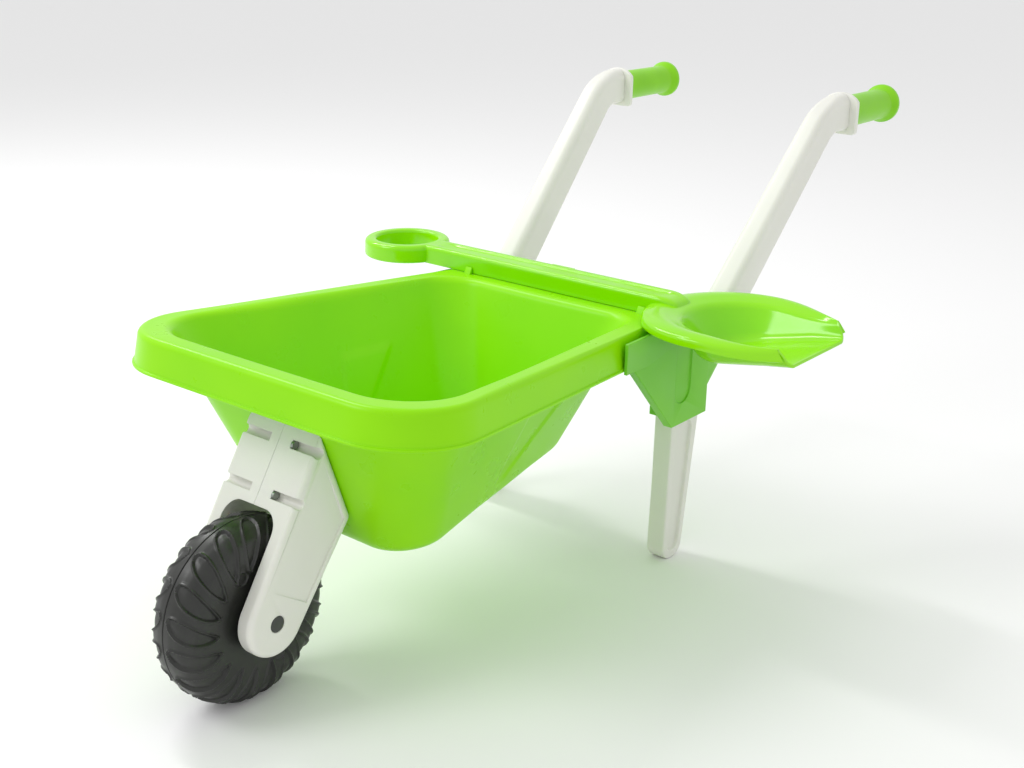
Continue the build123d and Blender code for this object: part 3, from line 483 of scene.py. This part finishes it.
def taperOutline(y0, y1, half0, half1, corner0, corner1, grow=0.0):
    # a rounded four-sided outline, wide in front and narrow behind, then grown
    corners = [(-half0, y0), (half0, y0), (half1, y1), (-half1, y1)]
    outline = roundedOutline(corners, [corner0, corner0, corner1, corner1], tray["arcSteps"],
                             tray["edgeSteps"])
    return offsetOutline(outline, grow)


def pressedPanel(rows):
    # Each side wall of the basin has a shallow four-sided panel, drawn here in (y, z) with
    # its corners in order. A point's depth inside it is its least distance from the sides.
    y, z = rows[..., 1], rows[..., 2]
    inside = np.full(y.shape, np.inf)
    corners = tray["panelCorners"]
    for (y0, z0), (y1, z1) in zip(corners, corners[1:] + corners[:1]):
        length = sqrt((y1 - y0) ** 2 + (z1 - z0) ** 2)
        inside = np.minimum(inside, ((y1 - y0) * (z - z0) - (z1 - z0) * (y - y0)) / length)
    sunk = tray["panelDepth"] * smoothStep(inside / tray["panelSlope"])
    rows = rows.copy()
    rows[..., 0] -= np.sign(rows[..., 0]) * sunk
    return rows


def trayPart():
    # Loops run from the middle of the basin's floor up the inside, over the rim and down its
    # skirt, round the lip, and back under the rim and down the outside to the floor's middle.
    length = (tray["rearY"] - tray["frontY"]) / cos(radians(tray["fall"]))
    taper = (tray["frontHalf"] - tray["rearHalf"]) / length
    margin = tray["draft"] + tray["lipProud"]
    y0 = margin + tray["bandFront"]
    y1 = length - tray["bandRear"] - margin
    inset = margin + tray["bandSide"]

    def rim(grow):
        return taperOutline(0, length, tray["frontHalf"], tray["rearHalf"], tray["frontCorner"],
                            tray["rearCorner"], grow)

    def mouth(grow):
        return taperOutline(y0, y1, tray["frontHalf"] - taper * y0 - inset,
                            tray["frontHalf"] - taper * y1 - inset, tray["mouthFrontCorner"],
                            tray["mouthRearCorner"], grow)

    floorLength = (tray["floorRearY"] - tray["floorFrontY"]) / cos(radians(tray["floorRise"]))

    def floor(grow):
        return taperOutline(0, floorLength, tray["floorFrontHalf"], tray["floorRearHalf"],
                            tray["floorCorner"], tray["floorCorner"] * tray["floorRearShare"],
                            grow)

    wall, height, lip = tray["wall"], tray["rimHeight"], tray["lipHeight"]
    proud, draft = tray["lipProud"], tray["draft"]
    middle, inner = tray["floorMiddle"], tray["floorInner"]
    innerFloor = inFloorPlane(floor(0), 0)
    outerFloor = inFloorPlane(floor(wall), wall)
    loops = [shrunk(innerFloor, middle), shrunk(innerFloor, inner), innerFloor,
             inRimPlane(mouth(0), 0),
             inRimPlane(rim(-proud - draft), 0),
             inRimPlane(rim(-proud), height - lip),
             inRimPlane(rim(0), height - lip + tray["lipEdge"]),
             inRimPlane(rim(0), height),
             inRimPlane(rim(-proud - wall), height),
             inRimPlane(rim(-proud - draft - wall), wall),
             inRimPlane(mouth(wall), wall), outerFloor, shrunk(outerFloor, inner),
             shrunk(outerFloor, middle)]
    radii = [0, tray["floorRound"], tray["throatRound"], tray["rimRound"], *tray["lipRounds"],
             tray["rimRound"] - wall, tray["throatRound"] + wall,
             tray["floorRound"] + wall, 0]
    rows = roundRibs(loops, radii, 8)
    return gridPart(pressedPanel(fillRows(rows, tray["rowStep"])))


def prismX(outline, x0, x1, edge=0.8):
    # a (y, z) outline carried along X, with rounded edges
    def at(x, grow):
        loop = offsetOutline(outline, grow)
        return np.column_stack([np.full(len(loop), x), loop])
    loops = [shrunk(at(x0, 0), 0.05), at(x0, 0), at(x1, 0), shrunk(at(x1, 0), 0.05)]
    return gridPart(roundRibs(loops, [edge, edge], 4))


# The shovel's settings come before the tray's clips, which stand against its shaft. Each curve
# of the scoop's flange is (centre, back radius, half width at the end, height, bulge), from
# the outer edge inwards.
shovel = {"shaftFront": 366.0, "shaftDepth": 30.0, "shaftHeight": 16.5, "shaftLeft": -152.0,
          "shaftRight": 128.0, "wall": 2.4, "topRound": 5.0, "sideDraft": 0.5, "bendRun": 22.0,
          "bendDrop": 9.5, "bendPower": 2.2, "bendPinch": 3.5, "grooveEdge": 8.0,
          "grooveFoot": 9.5, "grooveRound": 1.2, "grooveLeast": 0.1, "grooveDepth": 1.2,
          "grooveFrom": 14.0, "grooveRun": 8.0, "grooveFade": 1.6, "ringX": -186.8,
          "ringRadius": 41.0, "holeRadius": 28.8, "ringTaper": 0.6, "ringAround": 160,
          "ringRounds": [2.5, 2.5, 4.6, 3.2], "scoopX": 176.0, "endX": 241.0, "slant": 0.75,
          "rimZ": 241.0, "rimFall": 3.0, "rimFallRun": 60.0,
          "flange": [(176.0, 77.0, 52.0, 234.0, 7), (176.0, 76.5, 51.6, 240.6, 7),
                     (180.0, 66.0, 50.5, 244.0, 4), (186.0, 52.0, 47.5, 239.0, 1)],
          "scoopRounds": [4.5, 30, 11, 14], "scoopStep": 5.0, "floorX": 190.0,
          "floorRadius": 38.0, "floorEnd": 45.0, "floorZ": 211.0, "floorRise": 12.0,
          "weldWithin": 2e-5, "edgeRound": 0.6, "edgeAngle": 50, "restGap": 0.3,
          "innerDraft": 0.4, "footRound": 0.5, "innerRound": 2.5}
clip = {"gap": 0.4, "root": 1, "frontX": 95, "frontHalf": 3.5, "frontDepth": 4.5,
        "frontHeight": 9, "tabDepth": 4, "tabTopDepth": 3.4, "tabHeight": 18, "tabLeft": -25,
        "tabRight": 1, "tabEdge": 1.2, "frontRounds": [0.3, 0.3, 0.6],
        "tabRounds": [0.3, 0.3, 1.4, 0.6]}


def clipParts():
    # two small wedges in front of the shaft and one tall tab behind it, rooted in the rim
    parts = []
    front = shovel["shaftFront"] - clip["gap"]
    seat = rimTopZ(front) - clip["root"]
    for side in (-1, 1):
        outline = roundedOutline([(front - clip["frontDepth"], seat), (front, seat),
                                  (front, seat + clip["frontHeight"])],
                                 clip["frontRounds"], 3, [4, 4, 4])
        middle = side * clip["frontX"]
        parts.append(prismX(outline, middle - clip["frontHalf"], middle + clip["frontHalf"]))
    back = shovel["shaftFront"] + shovel["shaftDepth"] + clip["gap"]
    low = rimTopZ(back) - clip["root"]
    top = low + clip["tabHeight"]
    outline = roundedOutline([(back, low), (back + clip["tabDepth"], low),
                              (back + clip["tabTopDepth"], top), (back, top)],
                             clip["tabRounds"], 4, [4, 6, 4, 6])
    parts.append(prismX(outline, clip["tabLeft"], clip["tabRight"], clip["tabEdge"]))
    return parts


addPiece("trayMoulding", [trayPart()] + clipParts(), greenPlastic, "barrow",
         ["tray"])
print("tray made")

shovelLow = rimTopZ(shovel["shaftFront"]) + shovel["restGap"]
shovelTop = shovelLow + shovel["shaftHeight"]
shaftMiddle = shovel["shaftFront"] + shovel["shaftDepth"] / 2


def ringPart():
    # a rounded rectangle of the ring's section, turned round the ring's middle
    inner, outer, taper = shovel["holeRadius"], shovel["ringRadius"], shovel["ringTaper"]
    outline = roundedOutline([(inner, shovelLow), (outer, shovelLow), (outer - taper, shovelTop),
                              (inner + taper, shovelTop)], shovel["ringRounds"], 8, [4, 6, 3, 6])
    angle = np.linspace(0, 2 * pi, shovel["ringAround"] + 1)[:-1]
    rows = np.stack([shovel["ringX"] + outline[None, :, 0] * np.cos(angle)[:, None],
                     shaftMiddle + outline[None, :, 0] * np.sin(angle)[:, None],
                     outline[None, :, 1] + 0 * angle[:, None]], -1)
    rows = np.concatenate([rows, rows[:1]])
    return gridPart(rows, capStart=False, capEnd=False)


def shaftPart():
    # A channel that is open below. Near the scoop its top bends down in a quarter ellipse, its
    # sides draw in, and the groove along its top runs out.
    front, rear = shovel["shaftFront"], shovel["shaftFront"] + shovel["shaftDepth"]
    wall, bend, draft = shovel["wall"], shovel["bendRun"], shovel["sideDraft"]
    edge, foot, grooveRound = shovel["grooveEdge"], shovel["grooveFoot"], shovel["grooveRound"]
    inner, footRound, innerRound = (shovel[name] for name in (
        "innerDraft", "footRound", "innerRound"))
    bendStart = shovel["shaftRight"] - bend
    xs = np.concatenate([np.linspace(shovel["shaftLeft"], bendStart, 40),
                         shovel["shaftRight"] - bend * np.cos(np.linspace(0.05, pi / 2, 14))])
    loops = []
    for x in xs:
        share = np.clip((x - bendStart) / bend, 0, 1)
        remaining = sqrt(max(0.0, 1 - share ** shovel["bendPower"]))
        top = shovelTop - shovel["bendDrop"] * (1 - remaining)
        pinch = shovel["bendPinch"] * share ** 2
        begun = smoothStep((x - shovel["shaftLeft"] - shovel["grooveFrom"]) / shovel["grooveRun"])
        lasting = 1 - smoothStep(share * shovel["grooveFade"])
        sunk = shovel["grooveLeast"] + shovel["grooveDepth"] * begun * lasting
        y0, y1 = front + pinch, rear - pinch
        section = roundedOutline(
            [(y0, shovelLow), (y0 + wall, shovelLow), (y0 + wall + inner, top - wall),
             (y1 - wall - inner, top - wall), (y1 - wall, shovelLow), (y1, shovelLow),
             (y1 - draft, top), (y1 - edge, top), (y1 - foot, top - sunk),
             (y0 + foot, top - sunk), (y0 + edge, top), (y0 + draft, top)],
            [footRound, footRound, innerRound, innerRound, footRound, footRound,
             shovel["topRound"], grooveRound, grooveRound, grooveRound, grooveRound,
             shovel["topRound"]],
            6, [2, 4, 8, 4, 2, 5, 2, 1, 4, 1, 2, 5])
        loops.append(np.column_stack([np.full(len(section), x), section]))
    return gridPart(np.array(loops))


def scoopCurve(centreX, radius, endHalf, heightAt, bulge=0.0, sideSteps=26, arcSteps=48):
    # An open line: in along one side, round the back as a half circle, and out along the
    # other side. Each side ends on the slanted plane of the scoop's mouth, which two rounds
    # of the line's own height find closely enough.
    def endX(z):
        return shovel["endX"] + shovel["slant"] * (shovel["rimZ"] - z)
    lastX = endX(heightAt(endX(heightAt(shovel["endX"]))))
    share = np.linspace(0, 1, sideSteps + 1)
    sideX = centreX + (lastX - centreX) * share
    sideY = radius + (endHalf - radius) * share + bulge * np.sin(pi * share)
    turn = np.linspace(pi / 2, 3 * pi / 2, arcSteps + 1)[1:-1]
    x = np.concatenate([sideX[::-1], centreX + radius * np.cos(turn), sideX])
    y = np.concatenate([sideY[::-1], radius * np.sin(turn), -sideY])
    return np.column_stack([x, shaftMiddle + y, [heightAt(v) for v in x]])


def scoopPiece():
    # rounded rows between the flange's curves, the floor's edge and the floor's middle line
    rise = tan(radians(shovel["floorRise"]))

    def floorZ(x):
        return shovel["floorZ"] + (x - shovel["scoopX"]) * rise

    def falling(z):
        # the rim sinks a little towards the open end
        return lambda x: z - shovel["rimFall"] * smoothStep(
            (x - shovel["scoopX"]) / shovel["rimFallRun"])
    floor = scoopCurve(shovel["floorX"], shovel["floorRadius"], shovel["floorEnd"], floorZ)
    middle = floor.copy()
    middle[:, 0] = np.maximum(floor[:, 0], shovel["floorX"])
    middle[:, 1] = shaftMiddle
    middle[:, 2] = [floorZ(x) for x in middle[:, 0]]
    loops = [scoopCurve(centreX, radius, endHalf, falling(z), bulge)
             for centreX, radius, endHalf, z, bulge in shovel["flange"]] + [floor, middle]
    rows = fillRows(roundRibs(loops, shovel["scoopRounds"], 8), shovel["scoopStep"])
    points, faces = gridPart(rows, closed=False)
    # the faces look up, so that the wall's thickness goes down
    a, b, c = (points[np.array(faces)[:, i]] for i in range(3))
    if np.cross(b - a, c - a)[:, 2].sum() < 0:
        faces = [face[::-1] for face in faces]
    return points, faces


def addShovel():
    # the scoop's sheet gets its wall and its soft edges, then joins the ring and the shaft
    solid = [ringPart(), shaftPart()]
    points, faces = scoopPiece()
    scoop = bpy.data.meshes.new("scoopSheet")
    scoop.from_pydata((points * mm + barrowOrigin).tolist(), [], faces)
    sheet = bpy.data.objects.new("scoopSheet", scoop)
    bpy.context.collection.objects.link(sheet)
    weld(sheet, shovel["weldWithin"])
    thick = sheet.modifiers.new("wall", "SOLIDIFY")
    thick.thickness = shovel["wall"] * mm
    thick.offset = -1
    thick.use_even_offset = True
    softEdge = sheet.modifiers.new("edge round", "BEVEL")
    softEdge.width = shovel["edgeRound"] * mm
    softEdge.segments = 2
    softEdge.limit_method = "ANGLE"
    softEdge.angle_limit = radians(shovel["edgeAngle"])
    made = bpy.data.meshes.new_from_object(sheet.evaluated_get(
        bpy.context.evaluated_depsgraph_get()))
    bpy.data.objects.remove(sheet)
    coords = np.zeros(len(made.vertices) * 3)
    made.vertices.foreach_get("co", coords)
    points = (coords.reshape(-1, 3) - barrowOrigin) / mm
    faces = [list(polygon.vertices) for polygon in made.polygons]
    addPiece("shovelMoulding", solid + [(points, faces)], glossyPlastic,
             "shovel", ["shovel"])


addShovel()
print("shovel made")

handle = {"angle": 46.0, "frontY": 453.5, "frontZ": 238.0, "lowWidth": 25.0, "topWidth": 20.0,
          "lowDepth": 35.0, "topDepth": 31.0, "lowX": 114.0, "insert": 74.0, "bend": 40.0,
          "gripX": 126.8, "gripZ": 372.5, "underRound": 5.5, "topRound": 7.5,
          "swellFrom": 34, "swellRun": 22, "swellRound": 1.5, "dome": 0.5, "swellDome": 2.6}
collar = {"rearY": 643.0, "thick": 5.0, "half": 17.5, "high": 19.3, "domeHigh": 13,
          "domeFrom": 0.12, "domeDraw": 0.985, "sideTop": 8, "footRound": 4.5,
          "faceRounds": [1.6, 1.2]}


def handleArc():
    # the lean, where the straight part starts, and the runs where the arc starts and ends
    lean = radians(handle["angle"])
    startY = handle["frontY"] + handle["lowDepth"] / 2 * sin(lean)
    startZ = handle["frontZ"] - handle["lowDepth"] / 2 * cos(lean)
    cornerRun = (handle["gripZ"] - startZ) / sin(lean)
    arcStart = cornerRun - handle["bend"] * tan(lean / 2)
    return lean, startY, startZ, arcStart, arcStart + handle["bend"] * lean


def handlePlace(run):
    # the middle line: straight up at the handle's angle, an arc, then level to the collar
    lean, startY, startZ, arcStart, arcEnd = handleArc()
    if run <= arcStart:
        return startY + run * cos(lean), startZ + run * sin(lean), lean
    arcY, arcZ = startY + arcStart * cos(lean), startZ + arcStart * sin(lean)
    centreY = arcY + handle["bend"] * sin(lean)
    centreZ = arcZ - handle["bend"] * cos(lean)
    now = lean - min(run - arcStart, arcEnd - arcStart) / handle["bend"]
    y = centreY - handle["bend"] * sin(now) + max(0.0, run - arcEnd)
    return y, centreZ + handle["bend"] * cos(now), now


def handlePart():
    # A rounded rectangle carried along the middle line. It narrows evenly, its top is a shallow
    # dome, and the dome swells just before the collar.
    arcStart, arcEnd = handleArc()[3:]
    endY = collar["rearY"] - collar["thick"] + 1
    total = arcEnd + endY - handlePlace(arcEnd)[0]
    runs = np.concatenate([np.linspace(-handle["insert"], arcStart, 60),
                           np.linspace(arcStart, arcEnd, 26)[1:],
                           np.linspace(arcEnd, total, 22)[1:]])
    under, top = handle["underRound"], handle["topRound"]
    loops = []
    for run in runs:
        share = (run + handle["insert"]) / (total + handle["insert"])
        wide = (handle["lowWidth"] + (handle["topWidth"] - handle["lowWidth"]) * share) / 2
        deep = (handle["lowDepth"] + (handle["topDepth"] - handle["lowDepth"]) * share) / 2
        y, z, now = handlePlace(run)
        swell = smoothStep((y - (collar["rearY"] - handle["swellFrom"])) / handle["swellRun"])
        outline = roundedOutline([(-wide, -deep), (wide, -deep), (wide, deep), (-wide, deep)],
                                 [under, under, under + handle["swellRound"] * swell, top],
                                 8, [8, 10, 10, 10])
        dome = np.clip(1 - (outline[:, 0] / wide) ** 2, 0, 1) * (outline[:, 1] > 0)
        rise = handle["dome"] + handle["swellDome"] * swell
        outline = outline + np.column_stack([0 * dome, dome * rise])
        middleX = handle["lowX"] + (handle["gripX"] - handle["lowX"]) * share
        loops.append(np.column_stack([middleX + outline[:, 0], y - outline[:, 1] * sin(now),
                                      z + outline[:, 1] * cos(now)]))
    bottom = shrunk(loops[0], 0.9)
    return gridPart(np.array([bottom] + loops))


def collarPart():
    # square below and domed above, a plate that stands across the handle's end
    wide, high, domeHigh = collar["half"], collar["high"], collar["domeHigh"]
    domeFrom, sideTop, footRound = collar["domeFrom"], collar["sideTop"], collar["footRound"]
    angle = np.linspace(domeFrom * pi, (1 - domeFrom) * pi, 26)
    dome = np.column_stack([wide * np.cos(angle) / cos(domeFrom * pi) * collar["domeDraw"],
                            high - domeHigh + domeHigh * np.sin(angle)])
    square = roundedOutline([(-wide, sideTop), (-wide, -high), (wide, -high), (wide, sideTop)],
                            [0.1, footRound, footRound, 0.1], 8, [10, 14, 10, 2])
    # the dome takes the place of the points at the square's two upper corners
    outline = np.concatenate([square[1:-3], dome])

    def at(y, grow):
        loop = offsetOutline(outline, grow)
        return np.column_stack([handle["gripX"] + loop[:, 0], np.full(len(loop), y),
                                handle["gripZ"] + loop[:, 1]])
    rear = collar["rearY"]
    front = rear - collar["thick"]
    loops = [shrunk(at(front, 0), 0.2), at(front, 0), at(rear, 0), shrunk(at(rear, 0), 0.2)]
    return gridPart(roundRibs(loops, collar["faceRounds"], 6))


# (radius, y) from inside the mouth over the tube and the rolled end flange to the end face
grip = {"profile": [(11.3, 646.0), (11.3, 644.0), (14.8, 644.0), (14.7, 650.0), (14.4, 721.0),
                    (18.2, 727.0), (18.2, 732.0), (14.5, 732.0), (13.6, 731.0), (0.3, 731.2)],
        "rounds": [0.3, 1.2, 6, 7, 2.2, 1.8, 0.8, 0.8], "around": 96, "rowStep": 3.0}


def gripPart():
    # the profile turned round the grip's own middle line
    profile = roundedLine(grip["profile"], grip["rounds"], 6, grip["rowStep"])
    angle = np.linspace(0, 2 * pi, grip["around"] + 1)[:-1][None, :]
    rows = np.stack([handle["gripX"] + profile[:, :1] * np.cos(angle),
                     profile[:, 1:] + 0 * angle,
                     handle["gripZ"] + profile[:, :1] * np.sin(angle)], -1)
    return gridPart(rows)


for side, turned in (("left", False), ("right", True)):
    parts = [handlePart(), collarPart()]
    gripParts = [gripPart()]
    if turned:
        parts = [mirrorPart(part) for part in parts]
        gripParts = [mirrorPart(part) for part in gripParts]
    addPiece("handleBar_" + side, parts, whitePlastic, "barrow",
             ["handle_" + side])
    addPiece("gripTube_" + side, gripParts, gripPlastic, "barrow",
             ["grip_" + side])
print("handles and grips made")

leg = {"inner": 103.0, "outer": 120.5, "frontTop": 383.5, "frontLow": 381.0, "rearTop": 427.0,
       "rearLow": 410.0, "top": 137.0, "footRound": 13.5, "topRound": 0.6, "pocket": 3.0,
       "pocketSide": 6, "pocketEnd": 8, "pocketFrontTop": 6.5, "pocketRearTop": 9.5,
       "pocketRound": 8, "pocketDraft": 0.9, "edgeRounds": [1.6, 0.9, 2.0, 1.6]}


def legPart():
    # a flat bar with a round foot and a long pocket in its outer face
    foot, top, end = leg["footRound"], leg["topRound"], leg["pocketEnd"]
    outline = roundedOutline([(leg["frontLow"], 0), (leg["rearLow"], 0),
                              (leg["rearTop"], leg["top"]), (leg["frontTop"], leg["top"])],
                             [foot, foot, top, top], 10, [6, 40, 12, 40])
    pocket = roundedOutline([(leg["frontLow"] + leg["pocketSide"], end),
                             (leg["rearLow"] - leg["pocketSide"], end),
                             (leg["rearTop"] - leg["pocketRearTop"], leg["top"] - end),
                             (leg["frontTop"] + leg["pocketFrontTop"], leg["top"] - end)],
                            [leg["pocketRound"]] * 4, 10, [6, 40, 12, 40])

    def at(x, loop):
        return np.column_stack([np.full(len(loop), x), loop])
    sunk = leg["outer"] - leg["pocket"]
    loops = [shrunk(at(sunk, pocket), 0.3),
             at(sunk, offsetOutline(pocket, -leg["pocketDraft"])),
             at(leg["outer"], pocket), at(leg["outer"], outline), at(leg["inner"], outline),
             shrunk(at(leg["inner"], outline), 0.3)]
    return gridPart(roundRibs(loops, leg["edgeRounds"], 6))


for side in ("left", "right"):
    part = legPart() if side == "left" else mirrorPart(legPart())
    addPiece("legBar_" + side, [part], whitePlastic, "barrow", ["leg_" + side])
print("legs made")

# the fork and the brackets are the frame's own shapes with softened edges
for side in ("left", "right"):
    copiedNode("forkHalf_" + side, "fork_" + side, whitePlastic, "barrow", 0.5)
    # the brackets take the darker green that stands in for their shade under the rim
    copiedNode("bracketBlock_" + side, "bracket_" + side, bracketGreenPaintedShade,
               "barrow", 0.6)

cap = {"radius": 6.2, "depth": 2.4, "dome": 0.5, "rounds": [0.3, 0.8], "around": 64}


def capPart(side):
    # a shallow dome on a short round edge
    faceX = barrowBox("axle_caps")[1][0]
    back = faceX - cap["depth"]
    corners = [(0.1, back), (cap["radius"], back), (cap["radius"], faceX - cap["dome"]),
               (0.1, faceX)]
    profile = roundedLine(corners, cap["rounds"], 5)
    angle = np.linspace(0, 2 * pi, cap["around"] + 1)[:-1][None, :]
    rows = np.stack([side * profile[:, 1:] + 0 * angle, profile[:, :1] * np.cos(angle),
                     axleZ + profile[:, :1] * np.sin(angle)], -1)
    return gridPart(rows)


addPiece("axleCaps", [capPart(-1), capPart(1)], capPlastic, "barrow",
         ["axle_caps"])
metals = {"fork_screws": screwSteel, "fork_mount_screws": screwSteel,
          "handle_screws": screwSteel, "leg_screws": screwSteel,
          "bracket_screws": screwSteel, "axle": rodSteel}
for node, steel in metals.items():
    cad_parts[node].data.materials.clear()
    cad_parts[node].data.materials.append(steel)
print("small parts made")

studio = {"floorSize": 30.0, "floorGrey": 0.93, "floorRoughness": 0.9, "floorSpecular": 0.1,
          "skyStrength": 0.84, "keyPlace": (-1.2, -1.6, 1.9), "keySize": (0.9, 0.9),
          "keyEnergy": 15.0, "stripPlace": (-1.3, 0.05, 1.7), "stripSize": (0.16, 1.2),
          "stripEnergy": 13.0, "aim": (0, 0, 0.2)}
camera = {"place": (713.1, -586.8, 567.4), "yaw": 38.43, "pitch": 19.56, "roll": 1.09,
          "lens": 49.25, "sensor": 36, "near": 0.05, "far": 100}


def addFloor():
    # a large level square of plain paper at the height of the ground
    mesh = bpy.data.meshes.new("studioFloor")
    half = studio["floorSize"] / 2
    mesh.from_pydata([(-half, -half, 0), (half, -half, 0), (half, half, 0), (-half, half, 0)],
                     [], [(0, 1, 2, 3)])
    material = bpy.data.materials.new("studioPaper")
    material.use_nodes = True
    shader = material.node_tree.nodes["Principled BSDF"]
    shader.inputs["Base Color"].default_value = (*[studio["floorGrey"]] * 3, 1)
    shader.inputs["Roughness"].default_value = studio["floorRoughness"]
    shader.inputs["Specular IOR Level"].default_value = studio["floorSpecular"]
    mesh.materials.append(material)
    floor = bpy.data.objects.new("studioFloor", mesh)
    bpy.context.collection.objects.link(floor)


def addLight(name, place, size, energy):
    # a rectangular lamp turned so that it faces the aim
    light = bpy.data.lights.new(name, "AREA")
    light.shape = "RECTANGLE"
    light.size, light.size_y = size
    light.energy = energy
    lamp = bpy.data.objects.new(name, light)
    bpy.context.collection.objects.link(lamp)
    lamp.location = place
    towards = Vector(studio["aim"]) - Vector(place)
    lamp.rotation_euler = towards.to_track_quat("-Z", "Y").to_euler()


def addCamera():
    # yaw turns it from straight ahead, pitch tips it down, roll turns it about its own view
    yaw, pitch, roll = (radians(camera[name]) for name in ("yaw", "pitch", "roll"))
    ahead = Vector((-sin(yaw) * cos(pitch), cos(yaw) * cos(pitch), -sin(pitch)))
    right = Vector((cos(yaw), sin(yaw), 0))
    up = right.cross(ahead)
    turnedRight = right * cos(roll) + up * sin(roll)
    turnedUp = up * cos(roll) - right * sin(roll)
    lens = bpy.data.cameras.new("studioCamera")
    lens.lens = camera["lens"]
    lens.sensor_width = camera["sensor"]
    lens.clip_start, lens.clip_end = camera["near"], camera["far"]
    eye = bpy.data.objects.new("studioCamera", lens)
    bpy.context.collection.objects.link(eye)
    turn = Matrix((turnedRight, turnedUp, -ahead)).transposed().to_4x4()
    place = np.array(camera["place"]) * mm + barrowOrigin
    eye.matrix_world = Matrix.Translation(Vector(place)) @ turn
    bpy.context.scene.camera = eye


addFloor()
sky = bpy.data.worlds.new("studioSky")
sky.use_nodes = True
sky.node_tree.nodes["Background"].inputs["Color"].default_value = (1, 1, 1, 1)
sky.node_tree.nodes["Background"].inputs["Strength"].default_value = studio["skyStrength"]
bpy.context.scene.world = sky
bpy.context.scene.view_settings.view_transform = "Standard"
addLight("keyLight", studio["keyPlace"], studio["keySize"], studio["keyEnergy"])
addLight("stripLight", studio["stripPlace"], studio["stripSize"], studio["stripEnergy"])
addCamera()
print("studio made")
